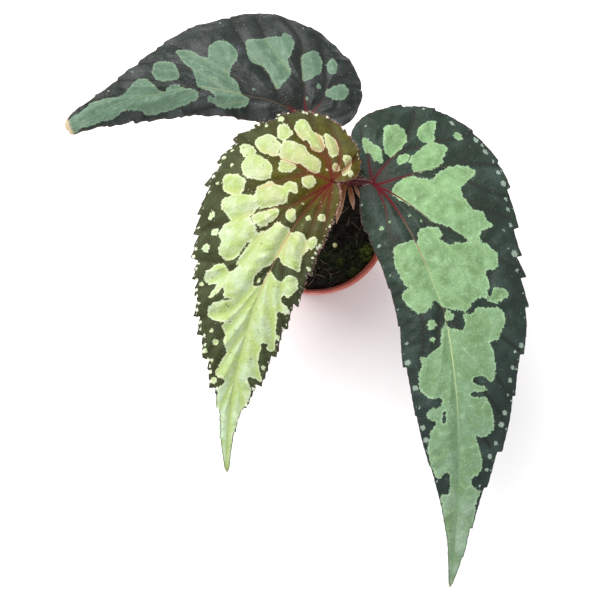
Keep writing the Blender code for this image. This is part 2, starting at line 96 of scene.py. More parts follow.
# Cane and leaf stalks: points, then the radius at each point, in millimetres. "aside" is a
# direction square to the stalk's own plane, from which its cross-section is turned.
STALKS = {
    "cane": {
        "points": [(3, 6, 50), (3, 6, 68), (4.5, 7, 77), (6.5, 8.2, 84), (8.7, 9.3, 92), (11.5, 10.5, 100),
                   (14, 11.4, 107), (16.2, 12.2, 113), (17, 12.5, 117)],
        "radii": (2.7, 2.7, 2.5, 3.2, 2.4, 3.0, 2.3, 2.7, 1.5),
        "aside": (-0.45, 0.9, 0),
    },
    "petiole_back": {
        "points": [(6.5, 8.2, 84), (3.5, 16, 94), (-2, 30, 110), (-4.8, 40.5, 120), (-5.2, 43.4, 125.2)],
        "radii": (1.9, 1.75, 1.6, 1.5, 1.4),
        "aside": (0.95, 0.3, 0),
    },
    "petiole_right": {
        "points": [(11.5, 10.5, 100), (15, 11.8, 109), (19.5, 11.3, 118.5), (26, 8.4, 127),
                   (29.9, 6.7, 131.4)],
        "radii": (2.1, 1.9, 1.7, 1.5, 1.3),
        "aside": (0.25, 1, 0),
    },
    "petiole_centre": {
        "points": [(16.2, 12.2, 113), (17.2, 12, 122), (15.5, 9.6, 134), (11, 5, 145), (8.1, 2.6, 149.5)],
        "radii": (1.9, 1.75, 1.6, 1.5, 1.4),
        "aside": (0.65, -0.75, 0),
    },
}

# Papery sheaths at the cane's top: root, tip and half width, in millimetres
STIPULES = {
    "stipule_left": ((15.3, 10.1, 117), (11.4, -9.5, 108), 2.5),
    "stipule_middle": ((18.5, 9.4, 114.2), (20.9, -1, 105.5), 1.8),
    "stipule_right": ((21, 9.7, 116.3), (23.9, 4.4, 111), 1.2),
}

# Leaf forms, as in the part's source: a point of a blade is a distance along the midrib and a
# distance out from it, both in millimetres.
CHANNEL_WIDTH = 7
RIB_SLANT = 0.85
RIB_BOW = 0.10
FRAME_REACH = 10
NOTCH_SHARE = 0.45
NOTCH_LEAST = 0.6
NOTCH_MOST = 3.0
LEAVES = {}
LEAVES["leaf_right"] = {
    "midrib": [(30, 6.5), (38, -3), (50, -24), (59, -44), (68, -72), (74, -125), (75, -158), (73, -205)],
    "rise": [(0, 0), (30, 4.5), (60, 4), (90, 0), (130, -11), (170, -28), (200, -43), (222, -56)],
    "outer": [(-1, 0.5), (-7.5, -2.5), (-14, -0.5), (-21, 3.5), (-26, 8), (-29, 13), (-30, 18), (-29.5, 24),
        (-27, 31), (-20.7, 42.8), (-9.8, 52.8), (5.3, 59.4), (22.8, 62), (38.3, 57.4), (54, 50.5),
        (72, 44.8), (92, 40.7), (112, 33.2), (134, 27.2), (156, 18.2), (180, 9.7), (204, 4.9), (222, 0)],
    "outer_teeth": [(64, 1.5), (82, 1.4), (101, 1.6), (115, 1.3), (128, 2.1), (146, 2.8), (159, 3.2),
        (168, 3.8), (180, 2.5), (201, 2.0), (222, 1.5), (250, 2.6), (269, 1.6), (291, 1.4), (307, 0.6)],
    "inner": [(-0.5, 1.5), (-2.5, 5.5), (-0.5, 8.5), (3, 11), (7.5, 14.3), (13, 17), (20, 18.2), (32, 20),
        (45, 20.5), (65, 22.2), (92, 24), (114, 22.4), (140, 19), (160, 14), (178, 8.8), (200, 3.4),
        (222, 0)],
    "inner_teeth": [(31, 1.5), (67, 1.2), (90, 1.3), (114, 2.0), (141, 0.8), (169, 0.6)],
    "petiole_end": 132, "outer_turn": 1, "outer_fall": (0.05, 0.0022), "inner_fall": (0.10, 0.010),
    "channel": 3.0, "quilt": 1.5,
}
LEAVES["leaf_centre"] = {
    "midrib": [(8, 2.5), (-5, -13), (-18, -32), (-30, -59), (-37, -79), (-42, -97), (-46, -124),
        (-47, -144)],
    "rise": [(0, 0), (20, 4.5), (45, 4), (75, -3), (105, -16), (135, -31), (160, -43)],
    "outer": [(-1, -1.5), (-3, -4), (-5.5, -6), (-9, -7.2), (-12, -6.8), (-15.5, -5), (-19, -1.5),
        (-21, 2.5), (-22.8, 8.5), (-24, 13.4), (-24.7, 19), (-24.7, 24), (-23.2, 28.5), (-20.6, 34),
        (-17, 39.5), (-12, 43), (-6, 45.5), (0, 49.5), (7, 52.3), (18, 52.2), (32, 49.4), (47.3, 44.4),
        (63, 37), (79.3, 30), (95, 22.2), (109, 14), (121.3, 8), (133.5, 4.7), (148, 2.5), (160, 0)],
    "outer_teeth": [(43, 1.2), (54, 1.2), (65, 1.2), (76, 1.6), (87, 2.0), (99, 2.8), (111, 3.0),
        (121, 3.0), (133, 1.6), (141, 2.6), (152, 4.0), (162, 3.0), (170, 2.1), (179, 2.9), (188, 3.0),
        (199, 2.9), (213, 3.0), (224, 1.8), (239, 0.8)],
    "inner": [(-0.5, 2.9), (1.5, 5.8), (5.7, 9.4), (9.7, 11.3), (14, 12.8), (19, 14.2), (27, 15.8),
        (38, 17.1), (54.7, 17.9), (68.5, 17.3), (82.5, 16.7), (96.8, 15.2), (108, 13.3), (119, 9.2),
        (132, 4.4), (146, 2), (160, 0)],
    "inner_teeth": [(12, 1.0), (24, 1.4), (36, 1.6), (52, 2.9), (70, 3.4), (84, 2.6), (99, 3.0), (117, 2.4),
        (131, 1.8), (145, 0.8)],
    "petiole_end": 150, "outer_turn": -1, "outer_fall": (0.04, 0.0042), "inner_fall": (0.05, 0.012),
    "channel": 3.4, "quilt": 1.8,
}
LEAVES["leaf_back"] = {
    "midrib": [(-5, 44), (-19, 51), (-36, 56), (-64, 60), (-83, 59), (-100, 57), (-116, 52), (-137, 43.4)],
    "rise": [(0, 0), (20, 4), (50, 4.5), (80, 0.5), (110, -8), (139, -19)],
    "outer": [(-3, -1), (-12, 0), (-19.5, 6.5), (-21.5, 17), (-18.5, 29), (-10, 38.3), (0, 44), (11.7, 48),
        (24, 50.7), (36.6, 50.7), (50, 44.9), (64, 37), (77.3, 28.9), (90.6, 20), (103.5, 12.6), (116, 9),
        (128.4, 7.8), (136, 5.8), (139.5, 3), (139, 0)],
    "outer_teeth": [(42, 0.5), (66, 0.8), (85, 1.1), (99, 1.0), (119, 1.2), (139, 1.0), (152, 0.8),
        (169, 0.6), (181, 1.2), (195, 1.0)],
    "inner": [(-2, 4), (3, 7.5), (14, 9.4), (30, 10.6), (50, 10.9), (72, 11.5), (92, 10.7), (108, 8.8),
        (122, 5.5), (132, 3.5), (138, 2), (139, 0)],
    "inner_teeth": [(22, 0.6), (41, 0.6), (66, 0.5), (76, 0.8), (104, 0.9), (120, 0.6)],
    "petiole_end": 126, "outer_turn": -1, "outer_fall": (0.06, 0.0040), "inner_fall": (0.75, 0.030),
    "channel": 2.6, "quilt": 1.6,
}

# Finish and fineness of the right, centre and back leaf, in millimetres where a length is meant
LOOK_ROWS = {
    # Net of the blade: draws, spacing of its ribs, cells across each side
    "slot": ("dark_green_leaf", "young_leaf", "slate_green_leaf"), "seed": (3, 5, 8),
    "rib_pitch": (0.56, 0.56, 0.6), "outer_cells": (50, 46, 44), "inner_cells": (24, 20, 16),
    "thickness": (0.45, 0.45, 0.45),
    # Margin: small teeth, more of them on the lobes, and the rounded tip
    "small_teeth": (4.3, 4.2, 10.5), "small_depth": (0.4, 1.6, 1.3), "lobe_teeth": (0.5, 1.0, 0.0),
    "tip_width": (0.7, 0.9, 0.5),
    # Relief: puckers between the veins, blisters on them, a waving margin
    "edge_fade": (6.0, 4.0, 5.0), "pucker_width": (4.2, 3.4, 4.0), "quilting": (1.35, 1.6, 1.35),
    "blister": (0.36, 0.42, 0.36), "blister_size": (6.0, 5.0, 5.6), "flutter": (0.45, 0.55, 0.6),
    "flutter_size": (15, 9, 12),
    # Veins: how proud they stand, their taper, their swelling at the petiole, where they turn rose and red
    "vein_proud": (0.1, 0.08, 0.1), "vein_taper": (1.6, 1.6, 1.6), "hub": (0.5, 0.5, 0.3),
    "hub_proud": (0.45, 0.3, 0.1), "stout_from": (0.42, 0.42, 0.5), "stout_to": (0.7, 0.7, 0.8),
    "rose_from": (50, 62, 12), "rose_to": (66, 84, 30), "red_stout": (8, 12, 0), "red_from": (7, 8, 5),
    "red_to": (26, 32, 16),
    # Ground: from near to far, its net, painted sheen, and painted shade in the grooves along the veins
    "near_reach": (20, 12, 10), "far_reach": (150, 62, 100), "net_scale": (0.45, 0.5, 0.45),
    "sheen": (0.5, 0.35, 0.55), "groove_shade": (0.75, 0.6, 0.85),
    # Light patches: ragged edge, pale band, spread at the tip, blotches, bloom, painted sheen towards the
    # tip, and veins with their tint and painted shade in the creases beside them
    "ragged": (0.9, 0.75, 0.75), "band": (0.55, 0.6, 0.4), "tip_spread": (0.8, 1.3, 0.6),
    "blotch": (0.85, 0.9, 0.7), "bloom": (0.5, 0.5, 0.5), "tip_sheen_from": (150, 85, 90),
    "tip_sheen_to": (212, 140, 130), "tip_sheen_share": (0.85, 0.75, 0.35), "net_tone": (0.35, 0.22, 0.35),
    "vein_tint_and_crease_shade": (0.35, 0.8, 0.3), "vein_tint_and_shade_width": (1.6, 1.9, 1.5), "bases": (0.25, 0.75, 0.2),
    # Pale dots by the margin, and specks
    "dot_pitch": (5.2, 3.3, 9.0), "dot_radius": (0.5, 0.72, 0.4), "dot_share": (0.4, 0.8, 0.3),
    "dots_from": (60, 34, 30), "dot_tone": (0.85, 1.0, 0.7), "speck_share": (0.10, 0.12, 0.16),
    # Red flush round the petiole, coloured rim and dry tip
    "flush_reach": (16, 34, 15), "flush_width": (1.3, 2.6, 1.2), "flush_between": (0.1, 0.15, 0.1),
    "flush": (0.8, 0.6, 0.7), "rim_width": (0.8, 1.0, 1.1), "rim": (0.75, 0.65, 0.8),
    "tip_from": (216, 154, 135.5), "tip_to": (222, 160, 138), "tip": (0.4, 0.35, 0.85),
    # Surface
    "roughness": (0.38, 0.4, 0.34), "relief": (0.15, 0.15, 0.15), "gloss": (0.24, 0.12, 0.3),
    "coat": (0.06, 0.02, 0.08),
}
LOOKS = {name: {key: row[k] for key, row in LOOK_ROWS.items()} for k, name in enumerate(LEAVES)}

# Colours of the finishes of the right, centre and back leaf; None where a setting gives the colour
LEAF_COLOURS = {
    "ground_near": (None, (0.086, 0.073, 0.002), None),
    "ground_far": ((0.013, 0.026, 0.022), None, None),
    "ground_deep": ((0.008, 0.012, 0.008), (0.022, 0.02, 0.006), None),
    # The ground's pale colour: its flecks, and painted sheen on it
    "ground_pale_and_sheen": ((0.045, 0.075, 0.062), (0.085, 0.105, 0.055), (0.062, 0.070, 0.072)),
    # Darker patch colour: blotches, veinlets, and painted shade in the creases by the far veins
    "patch_deep": ((0.11, 0.19, 0.075), (0.31, 0.40, 0.115), None),
    "patch_pale": ((0.29, 0.43, 0.26), (0.56, 0.60, 0.43), (0.19, 0.275, 0.19)),
    # Paler grey green of the painted sheen on the patches towards the tip
    "tip_sheen": ((0.27, 0.345, 0.275), (0.43, 0.57, 0.42), (0.15, 0.22, 0.16)),
    "flush": ((0.085, 0.008, 0.01), (0.115, 0.024, 0.001), (0.085, 0.012, 0.014)),
    "rim": ((0.035, 0.018, 0.016), (0.10, 0.035, 0.015), (0.035, 0.024, 0.018)),
    "rim_far": ((0.022, 0.018, 0.016), (0.04, 0.033, 0.026), (0.04, 0.03, 0.02)),
    "dots": ((0.24, 0.31, 0.25), (0.60, 0.63, 0.48), (0.34, 0.40, 0.34)),
    "tip": ((0.36, 0.36, 0.22), (0.30, 0.31, 0.16), (0.56, 0.43, 0.28)),
    "vein_side": ((0.22, 0.34, 0.15), (0.47, 0.31, 0.15), (0.16, 0.21, 0.12)),
    "vein_dark": ((0.034, 0.032, 0.021), (0.13, 0.06, 0.02), (0.026, 0.022, 0.018)),
    "vein_light": ((0.36, 0.42, 0.22), (0.50, 0.55, 0.36), (0.17, 0.22, 0.13)),
    "vein_far": ((0.16, 0.26, 0.15), (0.36, 0.42, 0.17), (0.13, 0.2, 0.12)),
    "vein_rose": ((0.25, 0.175, 0.12), (0.40, 0.26, 0.14), (0.12, 0.10, 0.06)),
}
# Bristles at a leaf's margin: finish with the colours of root and tip, count, least and greatest
# length, radius at the root, and how far along the margin they go
BRISTLES = {
    "leaf_centre": ("leaf_bristle", (0.42, 0.22, 0.16), (0.62, 0.48, 0.40), 1300, (0.6, 2.1), 0.045, 150.0),
    "leaf_right": ("leaf_fringe", (0.22, 0.12, 0.11), (0.60, 0.55, 0.50), 700, (0.4, 1.1), 0.05, 90.0),
}

TIP_STRETCH = 26.0
TIP_ROUND = 2.6
HUB_REACH = 6.0
HUB_STAND = 13.0
HUB_THIN = 0.7
HUB_STOUT = 1.25
TIP_SPREAD = (45.0, 20.0)
LOBE = (8.0, 14.0)
DOTLESS_TIP = 30.0
CHUNK = 3_000_000
FAR = 1000.0
VEIN_STEP = 2.0
VEIN_SIDES = 8
STALK_STEP = 0.8
STALK_SIDES = 20
CANE_JOINTS = (68, 84, 100, 113)
POLE_CALM = 9.0
SMALL_TOOTH_BACK = 0.22
# Hairs of the cane and of the petioles: count and size
CANE_HAIRS = (110, 0.6)
PETIOLE_HAIRS = (330, 1.0)
DRAIN_SIDES = 32
# Fibres seen in the photo: place, heading, length and radius
PLACED_FIBRES = (
    (-5.6, -37, 0.5, 12.5, 0.17), (7.8, -36, 0.95, 11, 0.16), (2.6, -20, -1.07, 7, 0.13),
    (24, -5, -1.47, 9, 0.14), (14, 6, 0.35, 8, 0.2), (20, 2, -0.6, 9, 0.15), (8, -30, 0.3, 8, 0.12),
    (18, -2, 0.9, 7, 0.14), (-2, -30, 0.2, 9, 0.13),
)
# Pale crumbs seen in the photo: place and size
PLACED_CRUMBS = ((20, -7.4, 0.5), (29, -9.7, 0.5), (23.8, 4.9, 0.8), (5, -12, 0.45))
# Green places on the soil: centre, radius and how thickly the moss grows there
MOSS_PLACES = (
    ((31, -17), 6.5, 1.0),
    ((24, -27), 7, 0.55),
    ((14, -21), 10, 0.36),
    ((-20, -22), 9, 0.8),
    ((-24, 14), 10, 0.9),
    ((14, 27), 8, 0.6),
)
# Camera: the millimetres of a pixel of the photo at the point looked at
PHOTO_WIDTH = 600
MM_A_PIXEL = 85 / 150
LOOKED_AT = (-8.5, -46.1, 75.0)
SENSOR = 36.0
FLOOR_HALF = 9.0
FLOOR_DROP = -0.0005
# Overhead light and the point it is turned to, in metres
LAMP_PLACE = (-0.42, 0.40, 1.15)
LIT_PLACE = (0, -0.03, 0.1)

# Markings of each leaf, given on its own measure (along the midrib, out from it): corners
# of the light patches and of dark gaps in them, round spots (place and radius), pale flecks by the
# margin, islands in the gaps, and veins with their first and last radius.
MARKS = {}
MARKS["leaf_right"] = {
    "light": {
        "small_left": [(-22, 12), (-21, 14), (-17, 14), (-11, 15), (-7, 13), (-5, 11), (-7, 9), (-9, 8),
            (-13, 10), (-14, 8), (-16, 8)],
        "upper": [(-18, 24), (-18, 27), (-14, 32), (-10, 32), (-6, 30), (-4, 23), (-4, 16), (-9, 16),
            (-12, 18)],
        "top": [(-7, 39), (-6, 46), (-4, 49), (-2, 47), (3, 40), (2, 37), (0, 35), (-3, 35)],
        "under_top": [(2, 30), (2, 38), (4, 41), (9, 43), (10, 41), (11, 37), (13, 35), (12, 27), (9, 20),
            (6, 21), (3, 22)],
        "chip": [(-1, 18), (-1.5, 20.5), (0, 24.5), (2.5, 23), (3, 19.5), (1, 16)],
        "big": [(11, 3), (8, 9), (9, 16), (12, 20), (16, 25), (15, 30), (15, 35), (16, 40), (18, 45),
            (20, 47), (23, 47), (25, 39), (27, 35), (33, 35), (38, 36), (40, 40), (44, 39), (48, 41),
            (49, 33), (53, 31), (51, 26), (47, 24), (39, 18), (37, 15), (32, 12), (22, 8), (17, 5)],
        "second": [(37, -11), (38, -4), (38, 0), (41, 0), (36, 4), (35, 7), (38, 14), (42, 14), (44, 12),
            (47, 14), (49, 18), (50, 24), (53, 32), (58, 36), (61, 37), (67, 34), (67, 28), (73, 27),
            (75, 25), (78, 23), (77, 19), (79, 15), (81, 12), (81, 8), (76, 0), (72, -3), (76, -8),
            (76, -12), (71, -16), (64, -18), (61, -16), (61, -12), (58, -14), (49, -15), (44, -14)],
        "islet": [(79, 23), (77, 26), (75, 30), (78, 35), (80, 33), (81, 30), (81, 26)],
        "long": [(95, -5), (89, -4), (84, -1), (87, 1), (90, 7), (86, 9), (83, 9), (83, 14), (81, 17),
            (82, 21), (84, 29), (89, 30), (95, 26), (97, 24), (98, 20), (103, 22), (115, 21), (117, 18),
            (114, 15), (114, 10), (117, 10), (118, 14), (121, 17), (121, 12), (122, 7), (124, 10),
            (124, 15), (129, 18), (136, 19), (141, 18), (144, 13), (144, 9), (155, 12), (161, 11), (164, 7),
            (168, 7), (171, 12), (175, 10), (184, 9), (193, 8), (203, 5), (213, 3), (226, 2), (226, -3),
            (212, -2), (200, -3), (187, -7), (173, -9), (172, -5), (163, -5), (161, -7), (164, -11),
            (155, -15), (147, -16), (139, -14), (135, -11), (133, -14), (130, -16), (127, -13), (127, -9),
            (124, -7), (122, -9), (122, -13), (117, -18), (110, -18), (105, -16), (100, -16), (100, -12),
            (96, -6)],
    },
    "dark": {
        "slit": [(129, -6.5), (130, -5.8), (135, -6.3), (135.5, -7.5), (132, -7.6)],
    },
    "spots": [(84, -8, 2.5), (92, -9, 1.4), (74.5, -5.5, 1.1), (81.5, 2, 2.4), (7, 52.5, 2),
        (24.5, -12, 1.1), (31.5, 7.5, 0.9), (26, 4, 0.5), (23.5, -6, 0.7)],
    "flecks": [(-26, 18.3, 0.6), (-13.5, 49.3, 0.7), (1.5, 55.6, 1.1), (12.1, 59.2, 1.1), (14.5, 60.4, 0.7),
        (17, 59.5, 1.2), (21.5, 60.4, 0.8), (27, 59, 1.2), (32.6, 58, 1.5), (39.3, 55, 0.9),
        (43.9, 53, 1.0), (50.3, 50.5, 1.0), (63.2, 46.2, 1.7), (70.8, 44, 0.9), (51.6, 45.4, 0.6),
        (60.1, 44, 0.6), (100.7, 37, 1.2), (103.2, 33.3, 0.9), (110.9, 31, 1.1), (116.8, 29, 1.2),
        (124, 27.5, 0.6), (132.7, 25, 1.3), (138.5, 22.8, 1.5), (147.4, 19.5, 1.1), (153.6, 16, 1.3),
        (160, 14.5, 0.9), (168, 11, 0.6), (5.5, -12.5, 0.8), (32.2, -17.3, 1.0), (50, -19, 0.6),
        (91, -22, 1.0), (101.6, -22.6, 1.6), (115.5, -20, 1.5), (126, -19, 0.6), (136.5, -18, 1.4),
        (143.1, -16.6, 1.5)],
    "islands": [],
    "veins": [
        ((1.25, 0.3), [(0, 0), (12, 0.6), (30, 0.8), (59, 0), (97, 0.4), (124, 0.8), (150, 0.4),
            (181, -0.4), (220, 0)]),
        ((0.75, 0.2), [(0, 0), (-7, 4), (-14.5, 9), (-23, 13), (-28, 16.5)]),
        ((0.8, 0.18), [(0, 0), (-1.5, 3.5), (-3.5, 16), (-5.5, 26.5), (-11, 38), (-16.5, 44.5)]),
        ((0.42, 0.16), [(-3.5, 16), (-1.5, 27), (1.5, 32.5), (4, 43.5), (7, 50.5), (9, 61.5)]),
        ((0.85, 0.2), [(0, 0), (3, 2.5), (7, 12), (9.5, 19), (13.5, 34), (17, 46), (24, 61.5)]),
        ((0.45, 0.18), [(7, 12), (10, 15.5), (20.5, 25), (29.5, 31.5), (38, 40), (47, 51)]),
        ((0.85, 0.22), [(1, 0), (7, 2), (17, 6), (28, 10.5), (37, 14.5), (44.5, 22), (57, 32), (72, 45)]),
        ((0.42, 0.16), [(60, 0.5), (71, 6), (82.5, 15.5), (95, 26.5), (103, 36)]),
        ((0.38, 0.15), [(79, 0), (95, 9), (111, 20), (125, 28.5)]),
        ((0.34, 0.14), [(97.5, 0.5), (115, 10.5), (128.5, 20), (135, 23.5)]),
        ((0.3, 0.13), [(116.5, 1), (132.5, 7.5), (148.5, 16)]),
        ((0.28, 0.12), [(134.5, 0.6), (150, 5), (164, 11)]),
        ((0.7, 0.18), [(2, 0), (13.5, -3.5), (30, -9), (53, -12.5), (75, -12), (91, -13), (105.5, -17)]),
        ((0.36, 0.14), [(72.5, 0.2), (87.5, -5), (102.5, -9.5), (117.5, -13)]),
        ((0.3, 0.13), [(94.5, 0.4), (108.5, -3), (126, -8), (136, -10.5)]),
        ((0.3, 0.13), [(28, 10.5), (36, 10.5), (47, 13), (58, 20), (69, 28)]),
        ((0.28, 0.12), [(13.5, 34), (22, 40), (31, 47), (38, 55)]),
    ],
}
MARKS["leaf_centre"] = {
    "light": {
        "caps": [(-11, 35), (-16, 34), (-16, 30), (-14, 25), (-15, 21), (-13, 16), (-10, 14), (-7, 15),
            (-6, 19), (-8, 23), (-7, 27), (-8, 31)],
        "finger": [(-16, 19), (-18, 17), (-18, 14), (-16, 9), (-13, 7), (-10, 7), (-9, 9), (-11, 13)],
        "comma": [(-13, 4), (-15, 3), (-16, 0), (-13, -2), (-9, -3.6), (-6, -3.4), (-6, -1.4), (-8, 0),
            (-10, 0)],
        "round_top": [(-5, 41), (-7, 41), (-9, 38), (-7, 33), (-5, 32), (0, 33), (0, 37)],
        "shell": [(10, 44), (6, 45), (2, 42), (1, 38), (3, 32), (6, 31), (9, 31), (11, 38)],
        "nub": [(15, 49), (13, 49), (11, 45), (12, 41), (14, 39), (18, 41), (17, 47)],
        "disc": [(22, 41), (19, 42), (15, 41), (13, 36), (14, 28), (18, 25), (21, 25), (23, 28), (25, 33),
            (25, 37)],
        "boomerang": [(5, 31), (1, 33), (-2, 31), (-4, 26), (-5, 22), (-3, 18), (-4, 13), (-2, 9), (2, 8),
            (4, 11), (4, 17), (6, 21), (8, 28)],
        "heel": [(9, 27), (7, 25), (6, 19), (10, 18), (13, 20), (14, 24)],
        "ball": [(9, 12), (6, 11), (5, 8), (7, 5), (11, 5), (13, 7), (12, 10)],
        "bulb": [(30, 45), (27, 41), (26, 36), (28, 33), (31, 32), (34, 32), (35, 36), (34, 42)],
        "cloud": [(27, 27), (24, 26), (20, 23), (20, 18), (16, 16), (14, 14), (15, 10), (18, 8), (20, 12),
            (23, 10), (26, 11), (30, 14), (33, 18), (33, 22)],
        "left_big": [(39, 38), (36, 37), (33, 33), (31, 28), (31, 24), (34, 21), (37, 20), (39, 21),
            (42, 16), (46, 13), (51, 16), (58, 18), (61, 23), (58, 28), (54, 28), (52, 31), (47, 31),
            (44, 29), (42, 35)],
        "saddle": [(39, 20), (36, 19), (33, 16), (29, 12), (32, 9), (35, 10), (40, 12), (41, 16)],
        "oval": [(29, 7), (26, 7), (25, 4), (28, 1), (31, 1), (31, 4)],
        "right_leaf": [(36, -10), (31, -11), (30, -14), (34, -15), (37, -15), (38, -12)],
        "main": [(34, 8), (35, 4), (34, 2), (35, -1), (33, -4), (34, -9), (39, -13), (44, -12), (52, -14),
            (52, -4), (59, -4), (60, -8), (57, -9), (55, -14), (61, -17), (66, -14), (66, -11), (70, -12),
            (70, -14), (72, -17), (74, -16), (75, -12), (80, -13), (87, -15), (93, -16), (95, -14),
            (94, -12), (92, -12), (93, -9), (96, -10), (98, -9), (105, -11), (111, -14), (111, -10),
            (111, -7), (113, -7), (117, -9), (123, -8), (128, -5), (134, -4), (140, -1.5), (146, -1.5),
            (153, -2), (164, -2), (164, 2), (153, 2), (146, 3), (142, 4), (136, 5), (131, 6), (128, 8),
            (121, 7), (119, 8), (116, 5), (114, 6), (113, 10), (107, 9), (102, 7), (97, 10), (94, 10),
            (90, 13), (87, 9), (89, 14), (89, 19), (87, 22), (84, 22), (81, 20), (79, 16), (77, 12),
            (78, 16), (74, 18), (78, 21), (80, 24), (73, 22), (74, 26), (72, 30), (65, 27), (63, 23),
            (65, 18), (61, 15), (60, 17), (51, 15), (45, 14), (39, 9)],
    },
    "dark": {
        "gap": [(49.5, -2), (54.5, 1), (58.5, 3.5), (62, 5), (66.5, 5), (67, 3), (65, 1), (62, 1),
            (57.5, 0), (57, -1.5), (59.5, -4), (58, -7.5), (55, -6)],
    },
    "spots": [(-9.5, 43, 1.8), (-2, 46.5, 0.9), (-9, -4.5, 1.6), (-6.5, 3, 2.0), (-2.5, 5.5, 0.8),
        (24, -4, 1.5), (19.5, -9, 2.1), (20, 3, 0.7), (18.5, 51, 0.9), (24, 45.5, 0.9), (33.5, 46, 0.7),
        (45.5, 39, 1.6), (51, 33.5, 1.8), (59, 34.5, 2.0), (23, 52, 0.9), (75, 30, 1.0), (32.5, -17, 1.2),
        (47.5, -18, 1.2), (20, -15, 0.9), (94, 17.5, 1.0), (98.5, 14, 1.4), (103, 18, 1.0),
        (107, 13.5, 0.9), (115.5, 10.5, 1.4), (104, -13, 1.2), (87.5, -16, 1.1)],
    "flecks": [],
    "islands": [(63.7, 2.9, 1.2)],
    "veins": [
        ((1.2, 0.25), [(0, 0), (10, 0.3), (20, 0), (32, -0.8), (47, -0.8), (57, -0.6), (65, 0.3),
            (84, -0.3), (104, -0.6), (124, -0.4), (159, 0)]),
        ((0.7, 0.16), [(0, 0), (4.5, 12), (5.5, 19.5), (8, 27.5), (10.5, 39), (10, 52)]),
        ((0.4, 0.15), [(5.5, 12), (11, 15), (17.5, 19.5), (26, 26.5), (33, 35), (34, 48.5)]),
        ((0.7, 0.16), [(0, 0), (-4, 5.5), (-7, 12), (-6, 21.5), (-8.5, 32.5), (-11.5, 43)]),
        ((0.55, 0.15), [(0, 0), (-6, 6.5), (-10.5, 14.5), (-16, 24.5), (-20.5, 34)]),
        ((0.5, 0.15), [(0, 0), (-10.5, 4), (-16.5, 10), (-20.5, 17), (-23.5, 23.5)]),
        ((0.45, 0.15), [(0, 0), (-6, -0.5), (-12, -1), (-17.5, -1)]),
        ((0.75, 0.18), [(0.5, 0), (15.5, 3.5), (24, 6.5), (32, 8), (42.5, 11), (53.5, 16), (62, 24),
            (64.5, 36)]),
        ((0.38, 0.14), [(24, 6.5), (29, 12), (36, 19.5), (45, 30), (52, 41)]),
        ((0.32, 0.13), [(42.5, 11), (53, 12.5), (62.5, 16.5), (71, 24), (77, 30.5)]),
        ((0.36, 0.14), [(51, -0.8), (62, 3), (72.5, 6), (83, 12), (89, 25)]),
        ((0.34, 0.13), [(64.5, 0.3), (74, 3), (84.5, 6.5), (94.5, 11.5), (104, 16.5)]),
        ((0.3, 0.12), [(86, -0.4), (96.5, 4), (105, 7), (114, 11)]),
        ((0.26, 0.12), [(108, -0.6), (119, 2.5), (128, 5.5)]),
        ((0.55, 0.16), [(1, 0), (18, -5.5), (30.5, -9), (44, -13), (53.5, -16)]),
        ((0.42, 0.14), [(0.5, 0), (8, -5), (18, -11), (28, -14.5)]),
        ((0.34, 0.13), [(39, -0.8), (50.5, -4.5), (61.5, -9), (71.5, -11.5), (79, -16.5)]),
        ((0.32, 0.13), [(57, -0.6), (68.5, -5), (79.5, -10.5), (94, -15.5)]),
        ((0.28, 0.12), [(86, -0.5), (96.5, -6.5), (105.5, -10.5), (112, -12.5)]),
        ((0.24, 0.11), [(112, -0.5), (120.5, -4.5), (126, -6.3)]),
    ],
}
